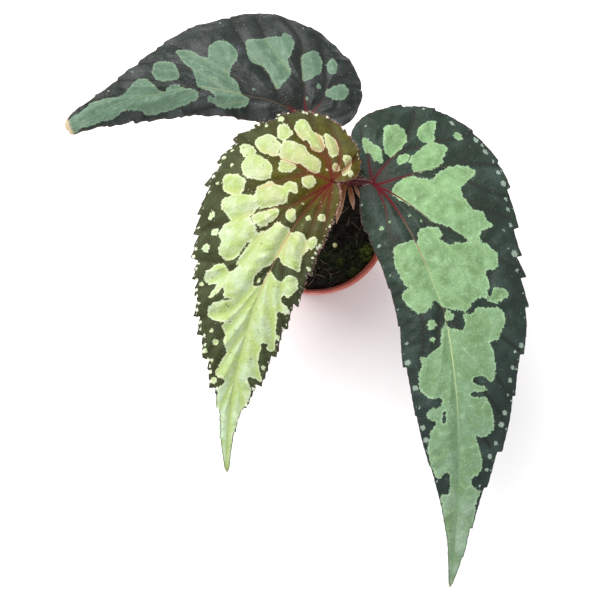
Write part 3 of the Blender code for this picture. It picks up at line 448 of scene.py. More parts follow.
MARKS["leaf_back"] = {
    "light": {
        "pebble": [(86, 13), (84, 17), (79, 17), (74, 14), (72, 6), (82, 6), (86, 10)],
        "broad": [(73, 22), (67, 22), (61, 18), (58, 18), (58, 23), (54, 28), (47, 26), (43, 19), (46, 12),
            (45, 8), (41, 5), (38, 0), (33, -2), (35, -6), (46, -8), (51, -7), (53, -2), (62, 1), (65, 10),
            (70, 15)],
        "heart": [(41, 30), (35, 33), (31, 36), (27, 37), (25, 41), (22, 39), (20, 33), (20, 24), (17, 18),
            (20, 7), (26, 13), (30, 17), (36, 18), (39, 23)],
        "bean": [(16, 30), (14, 35), (11, 37), (7, 33), (5, 26), (10, 17), (13, 22)],
        "splinter": [(4, 32), (4, 38), (0, 36), (-2, 31), (1, 29)],
        "leaflet": [(-2, 17), (-4, 23), (-9, 27), (-13, 24), (-13, 19), (-9, 16)],
        "wedge": [(139, 3), (129, 5), (121, 6), (113, 5), (105, 3), (100, 5), (95, 9), (89, 8), (85, 3),
            (81, 0), (75, 3), (68, 0), (63, -1), (62, -5), (72, -8), (84, -9), (92, -9), (95, -7),
            (106, -4), (112, -5), (119, -4), (125, -3), (132, -2), (138, -2)],
    },
    "dark": {},
    "spots": [(2.5, 19, 1.4), (5, 9.5, 0.9), (32, 3, 0.9), (54.5, -5, 1.5), (52.5, -5.2, 1.2)],
    "flecks": [(30, 48, 0.4), (55, 40, 0.4), (75, 27, 0.45), (96, 14, 0.4), (110, 8.5, 0.45), (-8, 36, 0.4),
        (20, 48, 0.4)],
    "islands": [],
    "veins": [
        ((1.1, 0.3), [(0, 0), (20, 0), (34, -0.4), (53.5, 0.6), (66.5, 0.9), (85, -0.6), (99.5, 0),
            (116.5, 0), (137, 0)]),
        ((0.8, 0.2), [(0, 0), (2, 3), (9, 14.5), (14.5, 25.5), (20, 40), (28, 49.5)]),
        ((0.42, 0.16), [(9, 14.5), (18, 19), (27, 27.5), (32.5, 34), (40, 48)]),
        ((0.7, 0.18), [(1, 0), (10, 0.8), (17, 4), (23, 9.5), (30, 16.5), (39, 24), (51, 42.5)]),
        ((0.7, 0.18), [(0, 0), (-1.5, 4.5), (-2.5, 16), (4, 29), (10, 39), (13.5, 46)]),
        ((0.4, 0.15), [(-2.5, 16), (-4, 25.5), (-8.5, 37), (-10.5, 37.5)]),
        ((0.55, 0.16), [(0, 0), (-8, 4), (-15, 10), (-19.5, 18)]),
        ((0.4, 0.15), [(28, -0.2), (40, 6.5), (55, 13.5), (66, 19.5), (76, 27)]),
        ((0.36, 0.15), [(46, 0.4), (58.5, 7), (70, 13), (83, 17), (92, 18)]),
        ((0.34, 0.14), [(65.5, 0.9), (77, 5.5), (91, 8), (104, 12)]),
        ((0.3, 0.13), [(87.5, -0.5), (99, 1.5), (112.5, 6), (124, 7.6)]),
        ((0.32, 0.13), [(24, -0.2), (38, -4), (52, -7.5), (64, -10)]),
        ((0.28, 0.12), [(56, 0.7), (70, -3), (84, -7), (94, -9.3)]),
    ],
}


# Lines and distances


def catmull_rom(a, b, c, d, u):
    """The curve from b to c at a share u of the way: it leaves b along c - a and meets c along d - b."""
    return 0.5 * (2 * b + (c - a) * u + (2 * a - 5 * b + 4 * c - d) * u**2 + (3 * b - a - 3 * c + d) * u**3)


def distances_along(line):
    """How far each point of a line lies from its start, measured along it."""
    return np.concatenate([[0], np.cumsum(np.linalg.norm(np.diff(line, axis=0), axis=1))])


def smooth_line(points, count=1200):
    """Points closely spaced on a Catmull-Rom curve through the given ones, and their distances along it."""
    given = np.array(points, float)
    ends = np.vstack([2 * given[0] - given[1], given, 2 * given[-1] - given[-2]])
    spot = np.linspace(0, len(given) - 1, count)
    index = np.minimum(spot.astype(int), len(given) - 2)
    line = catmull_rom(*(ends[index + k] for k in range(4)), (spot - index)[:, None])
    return line, distances_along(line)


def read_line(line, along, at):
    """The points of a line at these distances along it."""
    return np.stack([np.interp(at, along, line[:, k]) for k in range(line.shape[1])], axis=-1)


def rounded_outline(points, share=4):
    """A closed Catmull-Rom curve through these corners, with share points for each of them."""
    given = np.array(points, float)
    spot = np.arange(len(given) * share) / share
    index = spot.astype(int)
    corners = (given[(index + k) % len(given)] for k in (-1, 0, 1, 2))
    return catmull_rom(*corners, (spot - index)[:, None])


def distance_to(points, paths):
    """Distance from each point to the nearest of these paths, taken stretch by stretch."""
    start = np.concatenate([path[:-1] for path in paths])
    way = np.concatenate([np.diff(path, axis=0) for path in paths])
    square = np.maximum((way**2).sum(1), 1e-12)
    nearest = np.empty(len(points))
    for some in np.array_split(np.arange(len(points)), 1 + len(points) * len(start) // CHUNK):
        off = points[some, None] - start
        share = np.clip((off * way).sum(2) / square, 0, 1)[..., None]
        nearest[some] = np.sqrt(((off - share * way) ** 2).sum(2).min(1))
    return nearest


def within(points, outline):
    """Which points lie inside a closed outline: those with an odd number of its edges to their right."""
    a, b = outline, np.roll(outline, -1, axis=0)
    x, y = points[:, None, 0], points[:, None, 1]
    rise = np.where(a[:, 1] == b[:, 1], 1e-9, b[:, 1] - a[:, 1])
    at = a[:, 0] + (y - a[:, 1]) * (b[:, 0] - a[:, 0]) / rise
    return (((a[:, 1] > y) != (b[:, 1] > y)) & (x < at)).sum(1) % 2 == 1


def depth_in_outline(points, corners):
    """How deep each point lies inside the rounded outline through these corners, negative outside it."""
    outline = rounded_outline(corners)
    distance = distance_to(points, [np.vstack([outline, outline[:1]])])
    return np.where(within(points, outline), distance, -distance)


def depth_in_spots(points, spots):
    """How deep each point lies inside the nearest of these round spots (place and radius)."""
    best = np.full(len(points), -FAR)
    for t, d, radius in spots:
        best = np.maximum(best, radius - np.hypot(points[:, 0] - t, points[:, 1] - d))
    return best


def ripple(x, y, size, seed):
    """A smooth uneven wave between about -1 and 1: five sines of different headings, size apart."""
    draw = np.random.default_rng(seed)
    total = np.zeros(np.broadcast(x, y).shape)
    waves = (draw.uniform(0, np.pi, 5), draw.uniform(0, 2 * np.pi, 5), draw.uniform(0.75, 1.35, 5))
    for heading, phase, stretch in zip(*waves):
        total += np.sin((x * np.cos(heading) + y * np.sin(heading)) * 2 * np.pi / (size * stretch) + phase)
    return total / 2.6


def bell(x, y, centre, spread):
    """1 at a centre, fading round it: exp(-distance^2 / spread)."""
    return np.exp(-((x - centre[0]) ** 2 + (y - centre[1]) ** 2) / spread)


def unit(ways):
    """The same directions, each of length one."""
    return ways / np.maximum(np.linalg.norm(ways, axis=-1, keepdims=True), 1e-9)


# Nets and pieces. A net is its points and one or more arrays of faces, with a row of point numbers a face.


def link(name, data):
    """A new object in the scene."""
    made = bpy.data.objects.new(name, data)
    bpy.context.scene.collection.objects.link(made)
    return made


def new_piece(name, net, materials, replaced=None, floats={}, vectors={}, smooth=True):
    """A mesh piece in the frame, from a net in millimetres.

    floats and vectors hold point attributes that the materials read, by name.
    """
    mesh = bpy.data.meshes.new(name)
    points, *faces = net
    flat = np.concatenate([rows.ravel() for rows in faces])
    sizes = np.concatenate([np.full(len(rows), rows.shape[1]) for rows in faces])
    mesh.vertices.add(len(points))
    mesh.vertices.foreach_set("co", (np.asarray(points, float) * MM).astype(np.float32).ravel())
    mesh.loops.add(len(flat))
    mesh.loops.foreach_set("vertex_index", flat.astype(np.int32))
    mesh.polygons.add(len(sizes))
    mesh.polygons.foreach_set("loop_start", (np.cumsum(sizes) - sizes).astype(np.int32))
    mesh.polygons.foreach_set("loop_total", sizes.astype(np.int32))
    mesh.update(calc_edges=True)
    if mesh.validate():
        raise RuntimeError(name + " has faces that repeat a point")
    mesh.polygons.foreach_set("use_smooth", np.full(len(sizes), smooth))
    for label, values in floats.items():
        layer = mesh.attributes.new(label, "FLOAT", "POINT")
        layer.data.foreach_set("value", np.asarray(values, np.float32))
    for label, values in vectors.items():
        layer = mesh.attributes.new(label, "FLOAT_VECTOR", "POINT")
        layer.data.foreach_set("vector", np.asarray(values, np.float32).ravel())
    for material in materials:
        mesh.materials.append(material)
    piece = link(name, mesh)
    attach(piece, "root")
    if replaced:
        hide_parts(replaced)
    return piece


def thicken(piece, thickness, offset):
    """Gives a sheet its thickness in millimetres: beneath it at offset -1, half on each side at 0."""
    sheet = piece.modifiers.new("Thickness", "SOLIDIFY")
    sheet.thickness = thickness * MM
    sheet.offset = offset
    return sheet


def grid_faces(rows, columns, closed=False):
    """Quads over a grid of points numbered row by row; closed joins the last column to the first."""
    number = np.arange(rows * columns).reshape(rows, columns)
    if closed:
        number = np.hstack([number, number[:, :1]])
    return np.stack([number[:-1, :-1], number[1:, :-1], number[1:, 1:], number[:-1, 1:]], -1).reshape(-1, 4)


def closed_net(rings, first, last):
    """A net of rings of points, drawn together in one point before the first ring and one after the last."""
    rows, sides = rings.shape[:2]
    count = rows * sides
    around = np.arange(sides)
    after = (around + 1) % sides
    below = count - sides
    start = np.stack([np.full(sides, count), around, after], 1)
    end = np.stack([np.full(sides, count + 1), below + after, below + around], 1)
    points = np.concatenate([rings.reshape(-1, 3), [first], [last]])
    return points, grid_faces(rows, sides, closed=True), np.concatenate([start, end])


def turned_profile(radius, height, angle):
    """Rings of points: a profile, as rows of radius and height, turned about the upright axis."""
    return np.stack([radius * np.cos(angle), radius * np.sin(angle), height + 0 * (radius * angle)], -1)


def ball_net(rows, sides):
    """A ball of radius 1, from rings of the sine and height of the cosine of even angles."""
    v = np.linspace(0, np.pi, rows + 2)[1:-1, None]
    return closed_net(turned_profile(np.sin(v), np.cos(v), turn_angles(sides)), (0, 0, 1), (0, 0, -1))


def turn_angles(sides):
    """Even angles once round."""
    return np.arange(sides) * 2 * np.pi / sides


def carried_profile(path, radii, sides, aside):
    """A round profile carried along a path, its radius changing on the way and both ends closed.

    Point = path + radius (cos a * side + sin a * up), where side is square to the path and to
    aside, and up is square to both.
    """
    tangent = unit(np.gradient(path, axis=0))
    side = unit(np.cross(tangent, np.broadcast_to(np.asarray(aside, float), tangent.shape)))
    up = np.cross(side, tangent)
    angle = turn_angles(sides)[None, :, None]
    ring = np.cos(angle) * side[:, None] + np.sin(angle) * up[:, None]
    return closed_net(path[:, None] + np.asarray(radii)[:, None, None] * ring, path[0], path[-1])


def on_rings(values, sides):
    """Values along a path, given to each point of the profile carried along it and to its two ends."""
    return np.concatenate([np.repeat(values, sides, axis=0), values[:1], values[-1:]])


def gathered(nets):
    """Several nets of quads and triangles joined into one."""
    first = np.cumsum([0] + [len(points) for points, _, _ in nets])
    points = np.concatenate([net[0] for net in nets])
    return (points, *(np.concatenate([net[k] + start for net, start in zip(nets, first)]) for k in (1, 2)))


def repeated(faces, count, size):
    """The same faces for each of count pieces, whose points are numbered size at a time."""
    shifted = np.asarray(faces)[None] + (np.arange(count) * size)[:, None, None]
    return shifted.reshape(count * len(faces), -1)


def hair_cones(roots, ways, lengths, radius, droop):
    """Fine hairs: each is a three-sided cone of two rings and a tip.

    A point at the share s of the length is root + length (s way + droop s^2 down) + the ring's radius.
    """
    count = len(roots)
    ways = unit(ways)
    other = unit(np.cross(ways, [0.3, 0.5, 0.81]))
    third = np.cross(ways, other)
    angle = turn_angles(3)[None, :, None]
    share = np.array([0.0, 0.5])
    down = np.array([0, 0, -1.0])
    sag = (droop * lengths[:, None] * share**2)[..., None] * down
    spine = roots[:, None] + (lengths[:, None] * share)[..., None] * ways[:, None] + sag
    ring = np.cos(angle) * other[:, None] + np.sin(angle) * third[:, None]
    width = radius * np.array([1.0, 0.6])
    skin = spine[:, :, None] + width[None, :, None, None] * ring[:, None]
    tip = roots + lengths[:, None] * ways + (droop * lengths)[:, None] * down
    points = np.concatenate([skin.reshape(count, 6, 3), tip[:, None]], axis=1)
    quads = repeated([[0, 1, 4, 3], [1, 2, 5, 4], [2, 0, 3, 5]], count, 7)
    triangles = repeated([[3, 4, 6], [4, 5, 6], [5, 3, 6], [2, 1, 0]], count, 7)
    return points.reshape(-1, 3), quads, triangles


# Leaves


def leaf_length(name):
    """Length of the midrib."""
    return LEAVES[name]["outer"][-1][0]


def vein_paths(name):
    """Each vein's path over the leaf, at about even steps, with its first and last radius."""
    paths = []
    for radii, points in MARKS[name]["veins"]:
        line, along = smooth_line(points, 300)
        steps = max(6, int(along[-1] / VEIN_STEP))
        paths.append((radii, read_line(line, along, np.linspace(0, along[-1], steps + 1))))
    return paths


def blade_height(name, flat, veins_off, edge_off):
    """Height over the petiole's end, in millimetres, as in the part's source but with finer puckers.

    The midrib's own rise, a channel along the midrib, the fall of the blade to its margin, and
    puckers that stand up between the veins: quilt * (1 - exp(-(distance to a vein / width)^2)),
    which fade towards the margin, with smaller blisters on them and a flutter at the margin.
    """
    leaf, look = LEAVES[name], LOOKS[name]
    t, d = flat[:, 0], flat[:, 1]
    line, _ = smooth_line(leaf["rise"])
    out = np.where(t < 0, np.hypot(t, d), np.abs(d))
    slope = np.where(d < 0, leaf["inner_fall"][0], leaf["outer_fall"][0])
    bend = np.where(d < 0, leaf["inner_fall"][1], leaf["outer_fall"][1])
    inland = 1 - np.exp(-((edge_off / look["edge_fade"]) ** 1.5))
    stand = 1 - np.exp(-((veins_off / look["pucker_width"]) ** 2))
    near_pole = 1 - np.exp(-((np.hypot(t, d) / POLE_CALM) ** 2))
    pucker = look["quilting"] * leaf["quilt"] * stand * inland * near_pole
    blister = look["blister"] * stand * near_pole * ripple(t, d, look["blister_size"], look["seed"])
    waves = ripple(t, d, look["flutter_size"], look["seed"] + 1)
    flutter = look["flutter"] * (1 - inland) * near_pole * waves
    rise = np.interp(t, line[:, 0], line[:, 1]) + leaf["channel"] * (1 - np.exp(-out / CHANNEL_WIDTH))
    return rise - slope * out - bend * out**2 + pucker + blister + flutter


def blade_points(name, flat, veins_off, edge_off):
    """Places in space, in millimetres, of points at (along the midrib, out from it; outer side positive)."""
    leaf = LEAVES[name]
    line, along = smooth_line(leaf["midrib"])
    t, d = flat[:, 0], flat[:, 1]
    length = leaf_length(name)
    inside = np.clip(t, 0, length) / length * along[-1]
    ahead = read_line(line, along, np.minimum(inside + FRAME_REACH, along[-1]))
    tangent = unit(ahead - read_line(line, along, np.maximum(inside - FRAME_REACH, 0)))
    left = np.stack([-tangent[:, 1], tangent[:, 0]], axis=-1)
    beyond = (t - np.clip(t, 0, length))[:, None]
    plan = read_line(line, along, inside) + beyond * tangent + leaf["outer_turn"] * d[:, None] * left
    return np.column_stack([plan, leaf["petiole_end"] + blade_height(name, flat, veins_off, edge_off)])


def on_midrib(stations):
    """Flat points on the midrib at these distances."""
    return np.stack([stations, np.zeros(len(stations))], axis=1)


def margin_ribs(name, side, stations):
    """Ribs of one side of a blade: their starts on the midrib, and their ends on the toothed margin.

    Ribs slant forwards, and those that would start behind the petiole fan out from it. Each
    large tooth rises slowly to its tip and falls back sharply; small teeth repeat between them.
    """
    leaf, look = LEAVES[name], LOOKS[name]
    line, along = smooth_line(leaf[side])
    slanted = np.maximum.accumulate(line[:, 0] - RIB_SLANT * np.abs(line[:, 1]))
    last_fan = along[np.searchsorted(slanted, 0.0)]
    fan = np.linspace(0, last_fan, int(last_fan / look["rib_pitch"]), endpoint=False)
    rising = slanted + np.linspace(0, 1e-6, len(slanted))
    starts = np.concatenate([np.zeros(len(fan)), stations])
    ends = np.concatenate([fan, np.interp(stations, rising, along)])
    ends[-1] = along[-1]
    places, heights = [0.0], [0.0]
    for tip, depth in leaf[side + "_teeth"]:
        places += [tip, tip + min(NOTCH_SHARE * depth + NOTCH_LEAST, NOTCH_MOST)]
        heights += [depth, 0.0]
    depth = np.interp(ends, places + [along[-1]], heights + [0.0])
    turn = np.interp(ends, places[::2] + [along[-1] + 8], np.arange(len(places[::2]) + 1))
    phase = (ends / look["small_teeth"] + 0.12 * np.sin(2.3 * turn) + 0.1 * np.sin(5.1 * turn + 1)) % 1
    small = phase**1.4 * np.clip((1 - phase) / SMALL_TOOTH_BACK, 0, 1)
    bottom = read_line(line, along, ends)
    way = bottom - on_midrib(starts)
    reach = np.maximum(np.linalg.norm(way, axis=1), 1e-9)
    uneven = 0.7 + 0.3 * np.sin(0.83 * ends + 0.4) * np.sin(0.31 * ends)
    on_lobe = np.clip((LOBE[0] - bottom[:, 0]) / LOBE[1], 0, 1)
    small_depth = look["small_depth"] * (1 + look["lobe_teeth"] * on_lobe)
    most = np.minimum(small_depth, (0.12 + 0.05 * on_lobe) * reach)
    toothed = bottom + unit(way) * (depth + most * small * uneven)[:, None]
    from_tip = leaf_length(name) - toothed[:, 0]
    near_tip = np.clip(1 - from_tip / TIP_STRETCH, 0, 1)
    toothed[:, 1] += look["tip_width"] * near_tip * np.sqrt(np.clip(from_tip / TIP_ROUND, 0, 1))
    return starts, toothed, way


def leaf_grid(name):
    """Both sides of a blade as one net: flat points, triangles and the margin's line.

    A rib's point = start + a (end - start), bowed a little; the ribs of both sides share the
    midrib's points, the fans share the pole at the petiole, and the last ribs meet in the tip.
    Cells get smaller towards the margin: a = 1 - (1 - u)^1.3.
    """
    leaf, look = LEAVES[name], LOOKS[name]
    length = leaf_length(name)
    stations = np.linspace(0, length, int(length / look["rib_pitch"]))
    flats = [on_midrib(stations)]
    first, faces, margins = len(stations), [], []
    for side, sign in (("outer", 1), ("inner", -1)):
        columns = look[side + "_cells"]
        starts, ends, way = margin_ribs(name, side, stations)
        start = on_midrib(starts)
        a = (1 - (1 - np.linspace(0, 1, columns + 1)) ** 1.3)[None, 1:, None]
        bow = np.stack([-way[:, 1], way[:, 0]], axis=1) * RIB_BOW
        flat = start[:, None] + a * (ends - start)[:, None] - 4 * a * (1 - a) * bow[:, None]
        flat = flat[:-1] * (1, sign)
        fan = len(starts) - len(stations)
        root = np.concatenate([np.zeros(fan, int), np.arange(len(stations))])
        number = np.hstack([root[:-1, None], first + np.arange(flat.shape[0] * columns).reshape(-1, columns)])
        number = np.vstack([number, np.full((1, columns + 1), len(stations) - 1)])
        p, q, r, s = number[:-1, :-1], number[1:, :-1], number[1:, 1:], number[:-1, 1:]
        some = np.concatenate([np.stack(corners, -1).reshape(-1, 3) for corners in ((p, q, r), (p, r, s))])
        some = some[(some[:, 0] != some[:, 1]) & (some[:, 1] != some[:, 2]) & (some[:, 2] != some[:, 0])]
        faces.append(some if leaf["outer_turn"] * sign > 0 else some[:, ::-1])
        flats.append(flat.reshape(-1, 2))
        margins.append(np.vstack([flat[:, -1], [[length, 0]]]))
        first += flat.shape[0] * columns
    return np.concatenate(flats), np.concatenate(faces), margins


def distance_to_margin(flat, margins):
    """Distance from each point to the margin, taken from every third of its points."""
    return distance_to(flat, [np.vstack([path[:-1:3], path[-1:]]) for path in margins])


def depth_in_patches(name, flat):
    """How deep each point lies inside the light patches, less the dark ones in them."""
    marks = MARKS[name]
    depth = depth_in_spots(flat, marks["spots"])
    for corners in marks["light"].values():
        depth = np.maximum(depth, depth_in_outline(flat, corners))
    for corners in marks["dark"].values():
        depth = np.minimum(depth, -depth_in_outline(flat, corners))
    depth = np.maximum(depth, depth_in_spots(flat, marks["islands"]))
    from_tip = leaf_length(name) - flat[:, 0]
    return depth + LOOKS[name]["tip_spread"] * np.clip((TIP_SPREAD[0] - from_tip) / TIP_SPREAD[1], 0, 1)


def margin_dots(name, margins):
    """Pale dots just inside the margin, one at each small tooth, with uneven sizes and places."""
    look = LOOKS[name]
    draw = np.random.default_rng(look["seed"] + 7)
    dots = []
    for margin in margins:
        along = distances_along(margin)
        at = np.arange(look["dot_pitch"], along[-1] * 0.985, look["dot_pitch"])
        at = at + draw.uniform(-0.3, 0.3, len(at)) * look["dot_pitch"]
        place = read_line(margin, along, at)
        inward = -np.sign(place[:, 1:2]) * draw.uniform(0.5, 1.5, (len(at), 1)) * (0.25, 1)
        size = look["dot_radius"] * draw.uniform(0.4, 1.3, len(at))
        size = size * (draw.random(len(at)) < look["dot_share"])
        size = size * np.clip(np.hypot(*place.T) / look["dots_from"], 0.35, 1)
        size = size * np.clip((leaf_length(name) - place[:, 0]) / DOTLESS_TIP - 0.25, 0, 1)
        dots.append(np.column_stack([place + inward, size]))
    return [tuple(dot) for dot in np.concatenate(dots) if dot[2] > 0.1]


def blade(name, material, underside):
    """A leaf's blade with its marks as attributes, thickened downwards, with another finish beneath."""
    look = LOOKS[name]
    flat, faces, margins = leaf_grid(name)
    veins_off = distance_to(flat, [path for _, path in vein_paths(name)])
    edge_off = distance_to_margin(flat, margins)
    dots = depth_in_spots(flat, MARKS[name]["flecks"] + margin_dots(name, margins))
    patch = depth_in_patches(name, flat)
    piece = new_piece(
        name + "_blade", (blade_points(name, flat, veins_off, edge_off), faces), [material, underside],
        name,
        floats={"patch": patch, "dots": dots, "vein_off": veins_off, "edge_off": edge_off},
        vectors={"leaf_mm": np.column_stack([flat, np.zeros(len(flat))])},
    )
    thicken(piece, look["thickness"], -1).material_offset = 1


def veins(name, material):
    """The leaf's veins as tapered round cords sunk in the blade, a little proud of its top, full beneath it.

    Radius = last + (first - last) (1 - share)^taper, swollen round the petiole.
    """
    look = LOOKS[name]
    margins = leaf_grid(name)[2]
    nets, off_pole, patch, girth = [], [], [], []
    for (first, last), path in vein_paths(name):
        away = np.hypot(*path.T)
        share = np.linspace(0, 1, len(path))
        radius = last + (first - last) * (1 - share) ** look["vein_taper"]
        radius = radius * (1 + look["hub"] * np.exp(-away / HUB_REACH))
        spine = blade_points(name, path, np.zeros(len(path)), distance_to_margin(path, margins))
        stand = look["hub_proud"] * np.clip((first - HUB_THIN) / (HUB_STOUT - HUB_THIN), 0, 1)
        proud = look["vein_proud"] + stand * np.exp(-away / HUB_STAND)
        spine[:, 2] += np.minimum(proud, 0.6 * radius) - radius
        nets.append(carried_profile(spine, radius, VEIN_SIDES, (0, 0, 1)))
        flat = on_rings(path, VEIN_SIDES)
        off_pole.append(np.hypot(*flat.T))
        patch.append(depth_in_patches(name, flat))
        girth.append(on_rings(radius, VEIN_SIDES))
    marks = {"patch": patch, "off_pole": off_pole, "girth": girth}
    marks = {label: np.concatenate(values) for label, values in marks.items()}
    new_piece(name + "_veins", gathered(nets), [material], floats=marks)


def margin_hairs(name, material, count, lengths, radius, reach):
    """Bristles round the margin, thickest near the petiole, leaning outwards and a little up or down."""
    look = LOOKS[name]
    draw = np.random.default_rng(look["seed"] + 21)
    roots, ways = [], []
    for margin in leaf_grid(name)[2]:
        along = distances_along(margin)
        share = int(count * min(along[-1], reach) / (2 * reach))
        at = np.sort(draw.random(share) ** 1.5) * min(along[-1] * 0.97, reach)
        here = read_line(margin, along, at)
        tangent = unit(read_line(margin, along, at + 0.5) - here)
        outward = np.stack([tangent[:, 1], -tangent[:, 0]], 1) * -np.sign(here[:, 1:2] + 1e-6)
        outward = outward + draw.uniform(-0.6, 0.6, (share, 1)) * tangent
        roots.append(here - 0.15 * outward)
        ways.append(outward)
    roots, ways = np.concatenate(roots), np.concatenate(ways)
    zero = np.zeros(len(roots))
    low = blade_points(name, roots, zero + FAR, zero)
    high = blade_points(name, roots + 0.6 * ways, zero + FAR, zero)
    lean = high - low + np.column_stack([zero, zero, draw.uniform(-0.35, 0.45, len(roots))])
    size = draw.uniform(*lengths, len(roots)) * (1 - 0.5 * np.clip(np.hypot(*roots.T) / reach, 0, 1))
    low[:, 2] -= 0.5 * look["thickness"]
    hairs = hair_cones(low, lean, size, radius, 0.08)
    new_piece(name + "_bristles", hairs, [material], smooth=False)


# Stem and sheaths


def stalk_path(name):
    """A stalk's path at even steps, its radii, swollen at its ends or joints, and shares of its length."""
    stalk = STALKS[name]
    line, along = smooth_line(np.column_stack([np.array(stalk["points"], float), stalk["radii"]]), 600)
    at = np.linspace(0, along[-1], int(along[-1] / STALK_STEP))
    spots = read_line(line, along, at)
    radius = spots[:, 3]
    if name == "cane":
        for z in CANE_JOINTS:
            radius = radius * (1 + 0.10 * np.exp(-(((spots[:, 2] - z) / 0.8) ** 2)))
            radius = radius * (1 - 0.05 * np.exp(-(((spots[:, 2] - z - 2.2) / 0.9) ** 2)))
    else:
        radius = radius * (1 + 0.22 * np.exp(-at / 3.5)) * (1 + 0.12 * np.exp(-(along[-1] - at) / 2.5))
    return spots[:, :3], radius, at / along[-1]


def stem(material):
    """The cane and the three petioles: round profiles carried along their paths."""
    nets, ripe = [], []
    for name, stalk in STALKS.items():
        path, radius, share = stalk_path(name)
        nets.append(carried_profile(path, radius, STALK_SIDES, stalk["aside"]))
        ripe.append(on_rings(share * (0.35 if name == "cane" else 1.0), STALK_SIDES))
    floats = {"ripe": np.concatenate(ripe)}
    new_piece("stem_stalks", gathered(nets), [material], "stem", floats)


def stem_hairs(material):
    """Fine hairs square to the petioles and the cane, thinly on the cane."""
    draw = np.random.default_rng(31)
    roots, ways, sizes = [], [], []
    for name in STALKS:
        path, radius, _ = stalk_path(name)
        count, size = CANE_HAIRS if name == "cane" else PETIOLE_HAIRS
        at = draw.integers(2, len(path) - 1, count)
        tangent = unit(np.gradient(path, axis=0)[at])
        way = unit(np.cross(tangent, draw.normal(size=(count, 3))))
        seen = path[at, 2] > SOIL_LEVEL + 4
        roots.append((path[at] + 0.93 * radius[at, None] * way)[seen])
        ways.append((way + 0.25 * tangent)[seen])
        sizes.append(draw.uniform(0.7, 2.2, count)[seen] * size)
    hairs = hair_cones(*map(np.concatenate, (roots, ways, sizes)), 0.07, 0.15)
    new_piece("stem_hairs", hairs, [material], smooth=False)


def sheath(name, material):
    """A pointed papery sheath, ribbed lengthwise, hollowed along its middle and curling down to its tip.

    Half width = half * (0.55 + 1.1 u - 1.5 u^2) * (1 - 0.75 u^8); a point is lifted by
    0.35 width v^2 + 0.25 length u (1 - u), plus fine ribs cos(7 pi v) and a crinkled edge.
    """
    root, tip, half = STIPULES[name]
    length = np.linalg.norm(np.subtract(tip, root))
    way = np.subtract(tip, root) / length
    side = unit(np.cross(way, (0, 0, 1)))
    up = np.cross(side, way)
    u, v = np.meshgrid(np.linspace(0, 1, 46), np.linspace(-1, 1, 25), indexing="ij")
    width = half * (0.55 + 1.1 * u - 1.5 * u**2) * (1 - 0.75 * u**8)
    frayed = 1 + 0.05 * np.sin(31 * u + 2 * v) * np.abs(v) ** 3 + 0.03 * np.sin(74 * u) * np.abs(v) ** 5
    lift = 0.35 * width * v**2 + 0.25 * length * u * (1 - u)
    lift = lift + 0.05 * np.cos(7 * np.pi * v) * (1 - u) + 0.12 * np.sin(9 * u + 3 * v) * u
    points = np.array(root) + (length * u)[..., None] * way + (width * v * frayed)[..., None] * side
    points = (points + lift[..., None] * up).reshape(-1, 3)
    piece = new_piece(
        name + "_sheath", (points, grid_faces(*u.shape)), [material], name,
        vectors={"sheath_place": np.stack([u, v, 0 * u], -1).reshape(-1, 3)},
    )
    thicken(piece, 0.22, 0)


# Pot, soil and what lies on it


def pot_inner_radius(z):
    """The tapered wall's inner radius at this height."""
    return FOOT_RADIUS + WALL_SLOPE * (z - FOOT_LIFT) - WALL


def rounded_profile(corners, radii, steps=5):
    """A profile through these corners, each rounded: a quadratic Bezier from one side to the other."""
    corners = np.array(corners, float)
    out = [corners[:1]]
    u = np.linspace(0, 1, steps + 1)[:, None]
    for before, here, after, radius in zip(corners, corners[1:], corners[2:], radii):
        back, on = before - here, after - here
        back_length, on_length = np.linalg.norm(back), np.linalg.norm(on)
        a = here + back / back_length * min(radius, 0.45 * back_length)
        b = here + on / on_length * min(radius, 0.45 * on_length)
        out.append((1 - u) ** 2 * a + 2 * u * (1 - u) * here + u**2 * b)
    out.append(corners[-1:])
    return np.concatenate(out)


def pot(material, segments):
    """The pot: a rounded profile of its wall, turned about the axis, then drilled through its floor.

    The rim is a fifth of a millimetre out of round, as thin mouldings are.
    """
    floor_top = FOOT_LIFT + WALL
    band = POT_HEIGHT - RIM_BAND
    foot_inner = FOOT_RADIUS - FOOT_WIDTH
    corners = [
        (0, floor_top), (pot_inner_radius(floor_top), floor_top), (pot_inner_radius(band), band),
        (RIM_RADIUS - WALL - 0.1, POT_HEIGHT), (RIM_RADIUS, POT_HEIGHT), (RIM_RADIUS - FOOT_DRAFT, band),
        (pot_inner_radius(band) + WALL, band - 0.4), (FOOT_RADIUS + FOOT_DRAFT, FOOT_LIFT), (FOOT_RADIUS, 0),
        (foot_inner, 0), (foot_inner - FOOT_DRAFT, FOOT_LIFT), (PAD_RADIUS + FOOT_DRAFT, FOOT_LIFT),
        (PAD_RADIUS, 0), (0, 0),
    ]
    profile = rounded_profile(corners, (FLOOR_FILLET, 1.0, LIP_ROUND, LIP_ROUND, 0.5, 0.4, 0.8) + (0.4,) * 5)
    angle = turn_angles(segments)
    radius, height = profile[1:-1, :1], profile[1:-1, 1:]
    radius = radius + 0.2 * np.cos(2 * angle + 0.7) * np.clip(height / POT_HEIGHT, 0, 1) ** 3
    shell = closed_net(turned_profile(radius, height, angle), (0, 0, floor_top), (0, 0, 0))
    piece = new_piece("pot_shell", shell, [material], "pot")
    cutter = drain_cutter()
    cut = piece.modifiers.new("Drain holes", "BOOLEAN")
    cut.operation = "DIFFERENCE"
    cut.solver = "EXACT"
    cut.object = cutter
    bpy.context.view_layer.update()
    cut_mesh = bpy.data.meshes.new_from_object(piece.evaluated_get(bpy.context.evaluated_depsgraph_get()))
    piece.modifiers.clear()
    piece.data = cut_mesh
    bpy.data.objects.remove(cutter)
    cut_mesh.set_sharp_from_angle(angle=math.radians(50))


